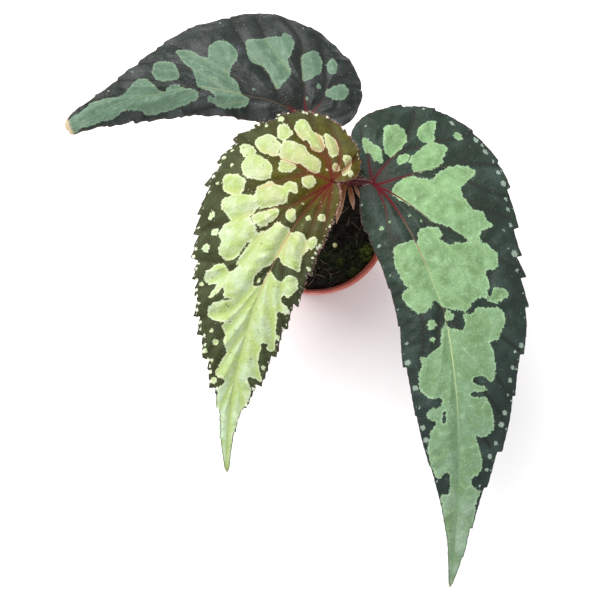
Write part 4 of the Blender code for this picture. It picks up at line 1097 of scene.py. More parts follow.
def drain_cutter():
    """Upright cylinders where the drain holes go, as a mesh that is removed again after the cut."""
    nets = []
    for k in range(DRAINS):
        angle = 2 * math.pi * (k + 0.5) / DRAINS
        x, y = DRAIN_CIRCLE * math.cos(angle), DRAIN_CIRCLE * math.sin(angle)
        path = np.array([(x, y, FOOT_LIFT - 3), (x, y, FOOT_LIFT + 3)], float)
        nets.append(carried_profile(path, np.full(2, DRAIN_RADIUS), DRAIN_SIDES, (0, 1, 0)))
    points, *faces = gathered(nets)
    mesh = bpy.data.meshes.new("drain_cutter")
    mesh.from_pydata((points * MM).tolist(), [], [face for rows in faces for face in rows.tolist()])
    return link("drain_cutter", mesh)


def soil_height(x, y):
    """The soil's level in millimetres: crossing waves with the moss cushions raised on top."""
    waves = np.sin(0.55 * x + 0.9) * np.sin(0.48 * y) + 0.6 * np.sin(0.31 * x - 0.42 * y + 2.1)
    height = SOIL_LEVEL + SOIL_BUMP * waves
    for centre, radius, rise in MOSS_CUSHIONS:
        height = height + rise * bell(x, y, centre, 0.5 * radius**2)
    return height


def rough_soil(x, y):
    """The soil's level with its crumbs: finer ripples of two sizes on soil_height."""
    return soil_height(x, y) + 0.45 * ripple(x, y, 3.4, 41) + 0.22 * ripple(x, y, 1.3, 42)


def mossy(x, y):
    """How mossy a place is, from 0 to 1: a bell round each green place."""
    share = 0.0
    for centre, radius, amount in MOSS_PLACES:
        share = np.maximum(share, amount * bell(x, y, centre, 0.8 * radius**2))
    return share


def soil(material):
    """The root ball: rings of points on the rough surface, then down the wall and in under it."""
    bottom = FOOT_LIFT + WALL + 0.35
    top_radius = pot_inner_radius(SOIL_LEVEL - SOIL_SHOULDER) - 0.1
    bottom_radius = pot_inner_radius(bottom) - FLOOR_FILLET - 0.7
    angle = turn_angles(180)
    radii = top_radius * np.linspace(0, 1, 61)[1:, None]
    z = rough_soil(radii * np.cos(angle), radii * np.sin(angle)) - 0.8 * np.exp(-(top_radius - radii) / 1.2)
    radii = np.vstack([radii, [[bottom_radius + 1.2], [bottom_radius]]])
    z = np.vstack([z, np.full(len(angle), bottom + 1.2), np.full(len(angle), bottom)])
    bed = closed_net(turned_profile(radii, z, angle), (0, 0, rough_soil(0.0, 0.0)), (0, 0, bottom))
    x, y, z = bed[0].T
    new_piece("soil_bed", bed, [material], "soil", floats={"moss": mossy(x, y) * (z > 50)})


def scattered(draw, count, reach):
    """Places spread evenly over the soil: radius = reach * sqrt(random)."""
    angle = draw.uniform(0, 2 * np.pi, count)
    radius = reach * np.sqrt(draw.random(count))
    return radius * np.cos(angle), radius * np.sin(angle)


def turned(points, angle, a, b):
    """Points turned by an angle in the plane of two of their axes."""
    out = points.copy()
    out[..., a] = np.cos(angle) * points[..., a] - np.sin(angle) * points[..., b]
    out[..., b] = np.sin(angle) * points[..., a] + np.cos(angle) * points[..., b]
    return out


def crumbs(material, count):
    """Peat crumbs, bark bits and a few pale grains: lumpy balls, squashed and turned at random."""
    draw = np.random.default_rng(51)
    ball, quads, caps = ball_net(4, 6)
    x, y = scattered(draw, count, 38.0)
    size = 0.28 + 0.95 * draw.random(count) ** 3.5
    for k, row in enumerate(PLACED_CRUMBS):
        x[k], y[k], size[k] = row
    shape = 1 + draw.uniform(-0.33, 0.33, (count, len(ball)))
    stretch = draw.uniform(0.4, 1.4, (count, 1, 3))
    turn, tilt = draw.uniform(0, 2 * np.pi, (count, 1)), draw.uniform(0, np.pi, (count, 1))
    local = ball * shape[..., None] * stretch * size[:, None, None]
    local = turned(turned(local, tilt, 1, 2), turn, 0, 1)
    place = np.stack([x, y, rough_soil(x, y) + 0.25 * size], -1)
    tone = np.where(draw.random(count) < 0.012, 0.9, 0.4 * draw.random(count) ** 3)
    tone[:len(PLACED_CRUMBS)] = 1.0
    points = (local + place[:, None]).reshape(-1, 3)
    net = points, *(repeated(rows, count, len(ball)) for rows in (quads, caps))
    new_piece("soil_crumbs", net, [material], floats={"tone": np.repeat(tone, len(ball))})


def fibres(material, count):
    """Coir and root fibres: thin bent strands lying on the soil, some placed where the photo has them.

    Heading along a strand = heading + curl * length * s, and its points are the running sum of steps.
    """
    draw = np.random.default_rng(61)
    x, y = scattered(draw, count, 36.0)
    heading = draw.uniform(0, 2 * np.pi, count)
    length = draw.uniform(4, 14, count)
    radius = draw.uniform(0.06, 0.15, count)
    for k, row in enumerate(PLACED_FIBRES):
        x[k], y[k], heading[k], length[k], radius[k] = row
    curl = draw.uniform(-0.17, 0.17, count)
    tints = 0.4 * draw.random(count) ** 1.5
    tints[:len(PLACED_FIBRES)] += 0.55
    s = np.linspace(0, 1, 11)
    nets = []
    for k in range(count):
        bend = heading[k] + curl[k] * length[k] * s
        px = x[k] + np.cumsum(np.cos(bend)) * length[k] / len(s)
        py = y[k] + np.cumsum(np.sin(bend)) * length[k] / len(s)
        inside = np.minimum(1, 38.5 / np.maximum(np.hypot(px, py), 1e-6))
        px, py = px * inside, py * inside
        lift = 0.5 + 1.1 * np.sin(np.pi * s) * (k % 3) / 2
        path = np.stack([px, py, soil_height(px, py) + 0.35 + lift], -1)
        taper = radius[k] * (0.35 + 0.65 * np.sin(np.pi * np.clip(s * 0.9 + 0.08, 0, 1)))
        nets.append(carried_profile(path, taper, 5, (0.02, 0.03, 1)))
    tone = np.repeat(tints, len(nets[0][0]))
    new_piece("soil_fibres", gathered(nets), [material], floats={"tone": tone})


def moss(material, count):
    """Moss shoots: rosettes of seven narrow leaflets that arch out and up, thickest on the cushions.

    A leaflet's middle line = root + 0.85 size s way + rise size s (1 - 0.55 s) up; its half width
    is 0.7 of the widest at its root, widest at s = 0.45 and nothing at its tip.
    """
    draw = np.random.default_rng(71)
    x, y = scattered(draw, count * 9, 38.3)
    keep = draw.random(len(x)) < 0.02 + 0.9 * mossy(x, y) ** 1.2
    x, y = x[keep][:count], y[keep][:count]
    count, leaflets = len(x), 7
    size = draw.uniform(0.8, 2.1, count)[:, None, None, None]
    turn = draw.uniform(0, 2 * np.pi, (count, 1)) + turn_angles(leaflets)
    turn = turn + draw.uniform(-0.3, 0.3, (count, leaflets))
    way = np.stack([np.cos(turn), np.sin(turn), np.zeros_like(turn)], -1)[:, :, None]
    side = np.stack([-np.sin(turn), np.cos(turn), np.zeros_like(turn)], -1)[:, :, None]
    s = np.array([0.0, 0.45, 1.0])[:, None]
    root = np.stack([x, y, rough_soil(x, y) + 0.3 * size[:, 0, 0, 0]], -1)[:, None, None]
    rise = draw.uniform(0.7, 1.5, (count, leaflets, 1, 1))
    middle = root + size * s * way * 0.85 + size * rise * (s * (1 - 0.55 * s)) * np.array([0, 0, 1.0])
    half = 0.17 * size * np.array([0.7, 1.0])[:, None] * side
    points = np.concatenate([middle[:, :, :2] - half, middle[:, :, :2] + half, middle[:, :, 2:]], axis=2)
    tone = np.repeat(draw.random(count) * (0.1 + 0.9 * mossy(x, y)), leaflets * 5)
    leaves = (repeated(face, count * leaflets, 5) for face in ([[0, 2, 3, 1]], [[1, 3, 4]]))
    net = points.reshape(-1, 3), *leaves
    thicken(new_piece("moss_shoots", net, [material], floats={"tone": tone}), 0.08, 0)


def granule(material):
    """The cream grain: a ball whose radius varies by a few hundredths, in the CAD grain's own place."""
    low, high = (np.array(corner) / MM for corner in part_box("fertiliser_granule"))
    way, *faces = ball_net(24, 40)
    x, y, z = way.T[..., None]
    lump = 1 + 0.025 * np.sin(5 * x + 1) * np.sin(4 * y) + 0.015 * np.sin(9 * z + x)
    points = (low + high) / 2 + (high - low)[2] / 2 * lump * way
    new_piece("granule_bead", (points, *faces), [material], "fertiliser_granule")


# Shader nodes


class Value:
    """A socket of a node tree in a form that sums can be written with, each of which adds a Math node."""

    def __init__(self, socket):
        self.socket = socket
        self.tree = socket.id_data

    def maths(self, operation, *others):
        """The outcome of one Math node for this value and others."""
        return add("Math", dict(enumerate((self, *others))), operation=operation)

    def __add__(self, other):
        return self.maths("ADD", other)

    def __sub__(self, other):
        return self.maths("SUBTRACT", other)

    def __mul__(self, other):
        return self.maths("MULTIPLY", other)


def outputs_of(node):
    """A node's outputs by name."""
    return {socket.name: Value(socket) for socket in node.outputs}


def feed(socket, value):
    """Links a value to a socket, or sets it; a colour gets its alpha."""
    if isinstance(value, Value):
        value.tree.links.new(value.socket, socket)
    else:
        socket.default_value = (*value[:3], 1) if socket.type == "RGBA" else value


def add(kind, inputs, output=0, tree=None, **settings):
    """One output, or all with None, of a new node in this tree or in that of its first linked input."""
    tree = tree or next(value.tree for value in inputs.values() if isinstance(value, Value))
    made = tree.nodes.new("ShaderNode" + kind)
    for key, value in settings.items():
        setattr(made, key, value)
    for key, value in inputs.items():
        feed(made.inputs[key], value)
    return outputs_of(made) if output is None else Value(made.outputs[output])


def ramped(value, low, high, start=0.0, end=1.0):
    """The value brought smoothly from low..high to start..end."""
    inputs = {"Value": value, "From Min": low, "From Max": high, "To Min": start, "To Max": end}
    return add("MapRange", inputs, interpolation_type="SMOOTHSTEP")


def mixed(factor, a, b):
    """Two colours mixed."""
    return add("Mix", {0: factor, 6: a, 7: b}, 2, data_type="RGBA")


def noise(place, scale, detail=2.0, rough=0.5):
    """Noise from 0 to 1 at so many waves a unit."""
    return add("TexNoise", {"Vector": place, "Scale": scale, "Detail": detail, "Roughness": rough})


def length(vector):
    """How long a vector is."""
    return add("VectorMath", {0: vector}, "Value", operation="LENGTH")


def split(vector):
    """A vector's three parts."""
    return add("SeparateXYZ", {0: vector}, None).values()


def read(tree, name, output="Fac"):
    """One of the piece's own attributes."""
    return add("Attribute", {}, output, tree, attribute_name=name)


def millimetres(tree):
    """Object coordinates in millimetres."""
    return add("VectorMath", {0: add("TexCoord", {}, "Object", tree), "Scale": 1 / MM}, operation="SCALE")


def shade(colour, amount):
    """A colour made lighter or darker."""
    return tuple(min(1.0, amount * part) for part in colour)


def between(a, b, share):
    """A colour on the way from one to another."""
    return tuple((1 - share) * p + share * q for p, q in zip(a, b))


def in_group(name, inputs, build, place, chosen):
    """The outputs of a shader node group, made at its first use and placed with its own values.

    inputs gives each input's kind, or its default where it is a number; build gets the inputs
    by name and returns the outputs.
    """
    tree = bpy.data.node_groups.get(name)
    if tree is None:
        tree = bpy.data.node_groups.new(name, "ShaderNodeTree")
        for label, kind in {"Place": "Vector", **inputs}.items():
            number = isinstance(kind, float)
            kind_name = "NodeSocket" + ("Float" if number else kind)
            socket = tree.interface.new_socket(label, in_out="INPUT", socket_type=kind_name)
            if number:
                socket.default_value = kind
        made = build(outputs_of(tree.nodes.new("NodeGroupInput")))
        for label, value in made.items():
            kind_name = "NodeSocketColor" if value.socket.type == "RGBA" else "NodeSocketFloat"
            tree.interface.new_socket(label, in_out="OUTPUT", socket_type=kind_name)
        sink = tree.nodes.new("NodeGroupOutput")
        for label, value in made.items():
            feed(sink.inputs[label], value)
    placed = place.tree.nodes.new("ShaderNodeGroup")
    placed.node_tree = tree
    for key, value in {"place": place, **chosen}.items():
        feed(placed.inputs[key.capitalize()], value)
    return outputs_of(placed)


def ragged_patch(place, **chosen):
    """Mask with a ragged edge from a depth in millimetres, and the pale band just inside that edge."""

    def build(given):
        coarse = noise(given["Place"], 0.34, 1.0) - 0.5
        fine = noise(given["Place"], 1.05, 2.0) - 0.5
        depth = (coarse * 2.6 + fine * 2.4) * given["Ragged"] + given["Depth"]
        mask = ramped(depth, -0.22, 0.22)
        return {"Mask": mask, "Band": mask * ramped(depth, 0.2, 1.3, 1.0, 0.0)}

    return in_group("Ragged patch", {"Depth": 0.0, "Ragged": 1.0}, build, place, chosen)


def mottled(place, **chosen):
    """A colour that wanders between three, by noise of two sizes."""

    def build(given):
        broad = noise(given["Place"], given["Scale"], 3.0, 0.6)
        fine = noise(given["Place"], given["Scale"] * 5.3, 3.0, 0.65)
        colour = mixed(ramped(broad, 0.3, 0.7), given["Low"], given["High"])
        return {"Color": mixed(ramped(fine, 0.56, 0.8, 0.0, 0.75), colour, given["Fleck"])}

    inputs = {"Scale": 0.1, "Low": "Color", "High": "Color", "Fleck": "Color"}
    return in_group("Mottled colour", inputs, build, place, chosen)["Color"]


def net_of_veinlets(place, **chosen):
    """The finest net of veins: its thin lines as a mask, and the height of the blisters between them."""

    def build(given):
        offset = add("VectorMath", {0: given["Place"], 1: noise(given["Place"], 0.5, 1.0)}, operation="ADD")
        large, small = (
            add("TexVoronoi", {"Vector": offset, "Scale": scale}, "Distance", feature="DISTANCE_TO_EDGE")
            for scale in (given["Scale"], given["Scale"] * 3.1)
        )
        height = ramped(large, 0.0, 0.4) + ramped(small, 0.0, 0.35) * 0.35
        return {"Lines": ramped(large, 0.015, 0.09, 1.0, 0.0), "Height": height}

    return in_group("Net of veinlets", {"Scale": 0.3}, build, place, chosen)


def specks(place, **chosen):
    """Small round specks, one in some of the cells of a net."""

    def build(given):
        cell = add("TexVoronoi", {"Vector": given["Place"], "Scale": given["Scale"]}, None)
        chance = add("SeparateColor", {0: cell["Color"]})
        spot = cell["Distance"].maths("LESS_THAN", given["Size"])
        return {"Mask": chance.maths("LESS_THAN", given["Share"]) * spot}

    inputs = {"Scale": 0.5, "Share": 0.2, "Size": 0.2}
    return in_group("Specks", inputs, build, place, chosen)["Mask"]


def grit(place, **chosen):
    """Grain of a rough surface: noise of two sizes as height and as tone."""

    def build(given):
        broad = noise(given["Place"], given["Scale"], 4.0, 0.65)
        fine = noise(given["Place"], given["Scale"] * 6.0, 3.0, 0.6)
        return {"Tone": broad, "Height": fine * 0.35 + broad}

    outputs = in_group("Grit", {"Scale": 1.0}, build, place, chosen)
    return outputs["Tone"], outputs["Height"]


# Materials


def new_material(name):
    """A material and its node tree."""
    material = bpy.data.materials.new(name)
    material.use_nodes = True
    return material, material.node_tree


def finished(material, colour, roughness, gloss, height=None, relief=0.0, **constants):
    """The material, its shader fed with values or sockets, a bump of so many millimetres and constants."""
    inputs = material.node_tree.nodes["Principled BSDF"].inputs
    feed(inputs["Base Color"], colour)
    feed(inputs["Roughness"], roughness)
    feed(inputs["Specular IOR Level"], gloss)
    if height is not None:
        bump = {"Height": height, "Strength": 1.0, "Distance": relief * MM}
        feed(inputs["Normal"], add("Bump", bump, "Normal"))
    for key, value in constants.items():
        inputs[key.replace("_", " ")].default_value = value
    return material


def leaf_finish(name, colours, look):
    """Upper side of a leaf: dark ground with painted sheen and painted shade in its grooves, ragged light
    patches with painted sheen towards the tip and painted shade beside their far veins, red near the petiole,
    dots and veinlets.
    """
    material, tree = new_material(name)
    place = read(tree, "leaf_mm", "Vector")
    vein_off, edge_off = read(tree, "vein_off"), read(tree, "edge_off")
    off_pole = length(place)
    along, _, _ = split(place)
    far = ramped(off_pole, look["near_reach"], look["far_reach"])
    net = net_of_veinlets(place, scale=look["net_scale"])
    deep, lighter, pale = colours["ground_deep"], colours["ground_pale_and_sheen"], colours["patch_pale"]

    ground = mixed(far, colours["ground_near"], colours["ground_far"])
    fleck = mixed(0.5, ground, lighter)
    ground = mottled(place, scale=0.16, low=ground, high=mixed(0.6, ground, deep), fleck=fleck)
    # Painted sheen: noise blotches on the dark ground, mixed towards its pale colour
    sheen = ramped(noise(place, 0.055, 3.0, 0.55), 0.42, 0.68)
    ground = mixed(sheen * look["sheen"], ground, lighter)
    ground = mixed(net["Lines"] * 0.3, ground, deep)
    # Painted shade in the grooves along the veins: the ground darkens within 2.4 mm of a vein
    ground = mixed(ramped(vein_off, 0.0, 2.4, look["groove_shade"], 0.0), ground, deep)

    light = mixed(far, colours["patch_near"], colours["patch_far"])
    # Painted sheen towards the tip: the patches are mixed towards a paler grey green
    tip_sheen = ramped(along, look["tip_sheen_from"], look["tip_sheen_to"], 0.0, look["tip_sheen_share"])
    light = mixed(tip_sheen, light, colours["tip_sheen"])
    blotch = mixed(look["blotch"], light, colours["patch_deep"])
    light = mottled(place, scale=0.11, low=light, high=blotch, fleck=mixed(0.9, light, pale))
    bloom = ramped(noise(place, 0.24, 3.0, 0.7), 0.5, 0.72, 0.0, look["bloom"])
    light = mixed(bloom, light, pale)
    light = mixed(net["Lines"] * look["net_tone"], light, colours["patch_deep"])
    bases = specks(place, scale=0.3, share=0.45, size=0.12)
    light = mixed(bases * look["bases"], light, colours["ground_far"])
    # Along the veins: their own pale tint near the petiole, and painted shade in the creases beside them
    # further out
    by_vein = ramped(vein_off, 0.2, look["vein_tint_and_shade_width"], look["vein_tint_and_crease_shade"], 0.0)
    light = mixed(by_vein - by_vein * far, light, colours["vein_side"])
    light = mixed(by_vein * far * 0.8, light, colours["patch_deep"])
    patch = ragged_patch(place, depth=read(tree, "patch"), ragged=look["ragged"])
    light = mixed(patch["Band"] * look["band"], light, pale)
    colour = mixed(patch["Mask"], ground, light)

    flush = ramped(off_pole, 3.0, look["flush_reach"], 1.0, 0.0)
    flush = flush * ramped(vein_off, 0.3, look["flush_width"], 1.0, look["flush_between"])
    colour = mixed(flush * look["flush"], colour, colours["flush"])
    rim = ramped(edge_off, 0.15, look["rim_width"], look["rim"], 0.0)
    colour = mixed(rim, colour, mixed(far, colours["rim"], colours["rim_far"]))
    ragged_dots = (noise(place, 1.3, 1.0) - 0.52) * 2.0 + read(tree, "dots")
    colour = mixed(ramped(ragged_dots, -0.12, 0.16, 0.0, look["dot_tone"]), colour, colours["dots"])
    hair_bases = specks(place, scale=0.62, share=look["speck_share"], size=0.15)
    colour = mixed(hair_bases * 0.45, colour, colours["dots"])
    tip = ramped(along, look["tip_from"], look["tip_to"], 0.0, look["tip"])
    colour = mixed(tip, colour, colours["tip"])
    grain = noise(place, 1.7, 3.0, 0.7)
    height = grain * 0.22 + (noise(place, 0.2, 1.0, 0.4) * 2.6 + net["Height"])
    return finished(
        material, colour, grain * 0.18 + look["roughness"], look["gloss"], height, look["relief"],
        Coat_Weight=look["coat"], Coat_Roughness=0.4, IOR=1.45,
    )


def underside_finish(name, colour, vein_colour):
    """Underside of a leaf: paler and matt, reddish, with its net of veins standing out."""
    material, tree = new_material(name)
    place = read(tree, "leaf_mm", "Vector")
    net = net_of_veinlets(place, scale=0.3)
    low = between(colour, vein_colour, 0.4)
    near = ramped(read(tree, "vein_off"), 0.2, 2.6, 0.8, 0.0)
    ground = mottled(place, scale=0.07, low=colour, high=low, fleck=low)
    tone = mixed((net["Lines"] * 0.7).maths("MAXIMUM", near), ground, vein_colour)
    return finished(material, tone, net["Height"] * 0.1 + 0.5, 0.3, net["Height"], -0.12)


def vein_finish(name, colours, look):
    """Veins: dark red at the petiole, then as dark as the ground, pale where stout across a light patch."""
    material, tree = new_material(name)
    off_pole = read(tree, "off_pole")
    far = ramped(off_pole, look["near_reach"], look["far_reach"])
    stout = ramped(read(tree, "girth"), look["stout_from"], look["stout_to"])
    rose = ramped(off_pole, look["rose_from"], look["rose_to"])
    midrib = mixed(rose, colours["vein_rose"], colours["vein_light"])
    pale = mixed(stout, mixed(far, colours["vein_side"], colours["vein_far"]), midrib)
    dark = mixed(stout * 0.25, mixed(far, colours["vein_dark"], colours["ground_deep"]), colours["vein_rose"])
    away = mixed(ramped(read(tree, "patch"), -0.6, 0.8), dark, pale)
    red = ramped(off_pole - stout * look["red_stout"], look["red_from"], look["red_to"], 1.0, 0.0)
    streak = noise(millimetres(tree), 0.9, 3.0, 0.6)
    colour = mixed(red, away, colours["vein_red"])
    colour = mixed(ramped(streak, 0.5, 0.8, 0.0, 0.3), colour, away)
    return finished(material, colour, streak * 0.15 + 0.5, 0.12, streak, 0.04)


def plastic_finish(colour, pale):
    """Thin moulded terracotta plastic: faint flow marks, scuffs on the band's edge, soil dust and painted
    shade on the inside wall.
    """
    material, tree = new_material("terracotta_plastic")
    place = millimetres(tree)
    x, y, z = split(place)
    tone, height = grit(place, scale=0.35)
    flow = noise(add("Mapping", {"Vector": place, "Scale": (1, 1, 0.12)}), 0.16, 2.0)
    shown = mixed(ramped(flow, 0.35, 0.7, 0.0, 0.5), colour, pale)
    shown = mixed(ramped(tone, 0.55, 0.8, 0.0, 0.35), shown, pale)
    # Soil dust and painted shade on the inside wall, darker towards the soil
    in_band = ramped(z, POT_HEIGHT - RIM_BAND, POT_HEIGHT, 0.0, 1.2)
    mid_wall = z * WALL_SLOPE + (FOOT_RADIUS - WALL_SLOPE * FOOT_LIFT - 0.5 * WALL)
    inner = ramped(mid_wall + in_band - length(add("CombineXYZ", {0: x, 1: y})), 0.45, 1.0)
    low = ramped(z, POT_HEIGHT - 2.0, POT_HEIGHT - 0.2, 1.0, 0.6)
    dust_and_shade = inner * low * ramped(noise(place, 0.5, 4.0, 0.7), 0.35, 0.6, 0.6, 1.0)
    shown = mixed(dust_and_shade * 0.93, shown, (0.022, 0.016, 0.012))
    shown = mixed(specks(place, scale=0.55, share=0.22, size=0.2) * 0.5, shown, (0.05, 0.03, 0.022))
    return finished(material, shown, tone * 0.2 + 0.34, 0.45, height, 0.05)


def soil_finish(colour, moss_colour):
    """Damp peat: near black, brown in places, greener under the moss."""
    material, tree = new_material("potting_soil")
    place = millimetres(tree)
    tone, height = grit(place, scale=0.6)
    brown = shade(colour, 2.6)
    shown = mottled(place, scale=0.35, low=colour, high=between(colour, brown, 0.5), fleck=brown)
    green = read(tree, "moss") * ramped(tone, 0.3, 0.6)
    shown = mixed(green * 0.8, shown, moss_colour)
    return finished(material, shown, tone * 0.3 + 0.62, 0.25, height, 0.5)


def toned_finish(name, dark, pale, roughness, relief=0.08, most=1.0):
    """A finish whose colour runs from dark to pale with the piece's own tone attribute, with a fine grain."""
    material, tree = new_material(name)
    tone, height = grit(millimetres(tree), scale=1.2)
    colour = mixed(ramped(read(tree, "tone"), 0.0, most), dark, pale)
    colour = mixed(ramped(tone, 0.35, 0.75, 0.0, 0.45), colour, shade(dark, 0.45))
    return finished(material, colour, tone * 0.2 + roughness, 0.25, height, relief)


def stem_finish(deep, pale):
    """Fleshy red stalk: dark red, with lighter red along it and pale specks, brown at the cane's foot."""
    material, tree = new_material("red_stem")
    place = millimetres(tree)
    long_place = add("Mapping", {"Vector": place, "Scale": (1, 1, 0.4)})
    mark = specks(long_place, scale=0.9, share=0.35, size=0.22)
    flow = noise(place, 0.3, 3.0, 0.6)
    colour = mixed(ramped(flow, 0.3, 0.75, 0.0, 0.45), deep, pale)
    colour = mixed(mark * 0.2, colour, (0.26, 0.06, 0.05))
    colour = mixed(ramped(read(tree, "ripe"), 0.0, 0.25, 0.6, 0.0), colour, (0.11, 0.045, 0.02))
    return finished(material, colour, flow * 0.2 + 0.42, 0.2, flow, 0.1)


def hair_finish(name, root, tip):
    """Fine hairs, a little uneven in colour."""
    material, tree = new_material(name)
    flow = noise(millimetres(tree), 0.6, 2.0)
    return finished(material, mixed(ramped(flow, 0.35, 0.65), root, tip), 0.5, 0.3)


def sheath_finish(root, tip):
    """Dry papery sheath: orange brown at its root, pinkish beige at its tip, with lengthwise veins."""
    material, tree = new_material("stipule_paper")
    along, across, _ = split(read(tree, "sheath_place", "Vector"))
    lines = ramped((across * 14.0).maths("SINE").maths("ABSOLUTE"), 0.0, 0.35, 0.55, 0.0)
    blotch = noise(millimetres(tree), 0.5, 4.0, 0.6)
    colour = mixed(ramped(along, 0.05, 0.75), root, tip)
    colour = mixed(lines, colour, shade(root, 0.45))
    colour = mixed(ramped(blotch, 0.5, 0.75, 0.0, 0.6), colour, shade(root, 0.7))
    colour = mixed(ramped(across.maths("ABSOLUTE"), 0.7, 1.0, 0.0, 0.5), colour, shade(tip, 1.5))
    return finished(material, colour, blotch * 0.25 + 0.4, 0.35, lines, -0.1)


def granule_finish(colour):
    """Coated fertiliser grain: cream, a little darker in its pores."""
    material, tree = new_material("granule")
    tone, height = grit(millimetres(tree), scale=1.1)
    shown = mixed(ramped(tone, 0.5, 0.75), colour, shade(colour, 0.6))
    return finished(material, shown, 0.38, 0.5, height, 0.08)


def floor_finish(colour):
    """Plain pale studio floor, matt, with the faintest unevenness."""
    material, tree = new_material("studio_floor")
    flow = noise(add("TexCoord", {}, "Object", tree), 3.0, 2.0)
    return finished(material, mixed(flow * 0.02, colour, (1, 1, 1)), 0.9, 0.0)


# Settings


def colour_property(name, description, default):
    """A colour that the user can change."""
    return FloatVectorProperty(name=name, description=description, default=default, size=3, min=0, max=1,
                               subtype="COLOR")


class BegoniaLeafSettings(bpy.types.PropertyGroup):
    """Colours of the three leaves, from the oldest to the youngest."""

    back_ground: colour_property("Back leaf ground", "Dark ground of the oldest leaf",
                                 (0.0082, 0.0155, 0.011))
    back_patch: colour_property("Back leaf patches", "Sage patches of the oldest leaf", (0.096, 0.17, 0.108))
    right_ground: colour_property("Right leaf ground", "Dark ground of the largest leaf",
                                  (0.012, 0.027, 0.0135))
    right_patch: colour_property("Right leaf patches", "Patches of the largest leaf near its petiole",
                                 (0.212, 0.365, 0.165))
    right_patch_far: colour_property("Right leaf far patches", "Patches of the largest leaf near its tip",
                                     (0.165, 0.262, 0.165))
    centre_ground: colour_property("Centre leaf ground", "Olive ground of the youngest leaf",
                                   (0.045, 0.058, 0.022))
    centre_patch: colour_property("Centre leaf patches", "Yellow-green patches of the youngest leaf",
                                  (0.41, 0.405, 0.225))
    centre_patch_far: colour_property("Centre leaf far patches", "Patches of the youngest leaf near its tip",
                                      (0.40, 0.485, 0.31))
    vein_red: colour_property("Vein red", "Red of the veins where they meet the petiole",
                              (0.085, 0.001, 0.006))
    underside: colour_property("Underside", "Reddish underside of the leaves", (0.14, 0.075, 0.06))


class BegoniaStemSettings(bpy.types.PropertyGroup):
    """Colours of the cane, its hairs and the papery sheaths."""

    red: colour_property("Stem red", "Dark red of the cane and petioles", (0.078, 0.002, 0.006))
    red_pale: colour_property("Stem light red", "Lighter red along the petioles", (0.10, 0.004, 0.008))
    hair: colour_property("Hairs", "Colour of the fine hairs", (0.20, 0.045, 0.04))
    sheath_root: colour_property("Sheath root", "Orange brown at a sheath's root", (0.27, 0.095, 0.022))
    sheath_tip: colour_property("Sheath tip", "Pinkish beige at a sheath's tip", (0.50, 0.30, 0.18))


class BegoniaPotSettings(bpy.types.PropertyGroup):
    """Finish and fineness of the pot."""

    colour: colour_property("Plastic", "Colour of the moulded pot", (0.46, 0.098, 0.070))
    colour_pale: colour_property("Pale plastic", "Colour of its flow marks and scuffs", (0.60, 0.20, 0.155))
    segments: IntProperty(name="Segments", description="Flats round the pot", default=144, min=24, max=360)


class BegoniaSoilSettings(bpy.types.PropertyGroup):
    """Soil, moss and what lies on them."""

    colour: colour_property("Soil", "Colour of the damp peat", (0.0075, 0.0058, 0.0042))
    moss_dark: colour_property("Dark moss", "Darkest moss leaflets", (0.005, 0.010, 0.002))
    moss_light: colour_property("Light moss", "Lightest moss leaflets", (0.14, 0.22, 0.022))
    fibre: colour_property("Fibres", "Light brown of the coir fibres", (0.33, 0.26, 0.16))
    granule: colour_property("Granule", "Cream of the fertiliser grain", (0.62, 0.60, 0.29))
    crumbs: IntProperty(name="Crumbs", description="Number of peat crumbs", default=2200, min=0, max=4000)
    fibres: IntProperty(name="Fibres", description="Number of coir fibres", default=130, min=10, max=400)
    shoots: IntProperty(name="Moss shoots", description="Number of moss shoots", default=1500,
                        min=0, max=4000)


class BegoniaStageSettings(bpy.types.PropertyGroup):
    """Floor, lights and camera."""

    floor: colour_property("Floor", "Colour of the floor", (0.95, 0.95, 0.95))
    light_size: FloatProperty(name="Light size", description="Side of the overhead light",
                              default=1.1, min=0.1, unit="LENGTH")
    light_power: FloatProperty(name="Light power", description="Power of the overhead light in watts",
                               default=22.0, min=0.0)
    world_strength: FloatProperty(name="World light", description="Strength of the even light all round",
                                  default=0.9, min=0.0)
    camera_distance: FloatProperty(name="Camera distance", description="From the camera to what it looks at",
                                   default=0.7, min=0.1, unit="LENGTH")
    camera_elevation: FloatProperty(name="Camera elevation", description="Angle of view above the horizon",
                                    default=math.radians(80), min=0, max=math.pi / 2, subtype="ANGLE")


# Operators


def leaf_colours(name, chosen):
    """The named colours of one leaf's finishes: fixed ones, those of the settings and shades of them."""
    colours = {key: row[list(LEAVES).index(name)] for key, row in LEAF_COLOURS.items()}
    colours["vein_red"] = chosen.vein_red
    if name == "leaf_right":
        colours["ground_near"] = chosen.right_ground
        colours["patch_near"], colours["patch_far"] = chosen.right_patch, chosen.right_patch_far
    elif name == "leaf_centre":
        colours["ground_far"] = chosen.centre_ground
        colours["patch_near"], colours["patch_far"] = chosen.centre_patch, chosen.centre_patch_far
    else:
        for key, share in (("ground_near", 0.7), ("ground_far", 1.0), ("ground_deep", 0.35)):
            colours[key] = shade(chosen.back_ground, share)
        for key, share in (("patch_near", 1.0), ("patch_far", 0.95), ("patch_deep", 0.62)):
            colours[key] = shade(chosen.back_patch, share)
    return colours


class BEGONIA_OT_leaves(bpy.types.Operator):
    """Makes the three blades with their markings, their veins and the bristles of the two front ones"""

    bl_idname = "begonia.make_leaves"
    bl_label = "Make leaves"

    def execute(self, context):
        chosen = context.scene.begonia_leaves
        for name, look in LOOKS.items():
            colours = leaf_colours(name, chosen)
            under = underside_finish(name + "_underside", chosen.underside, (0.20, 0.05, 0.045))
            blade(name, leaf_finish(look["slot"], colours, look), under)
            veins(name, vein_finish(name + "_vein_finish", colours, look))
        for name, (finish, root, tip, *sizes) in BRISTLES.items():
            margin_hairs(name, hair_finish(finish, root, tip), *sizes)
        return {"FINISHED"}


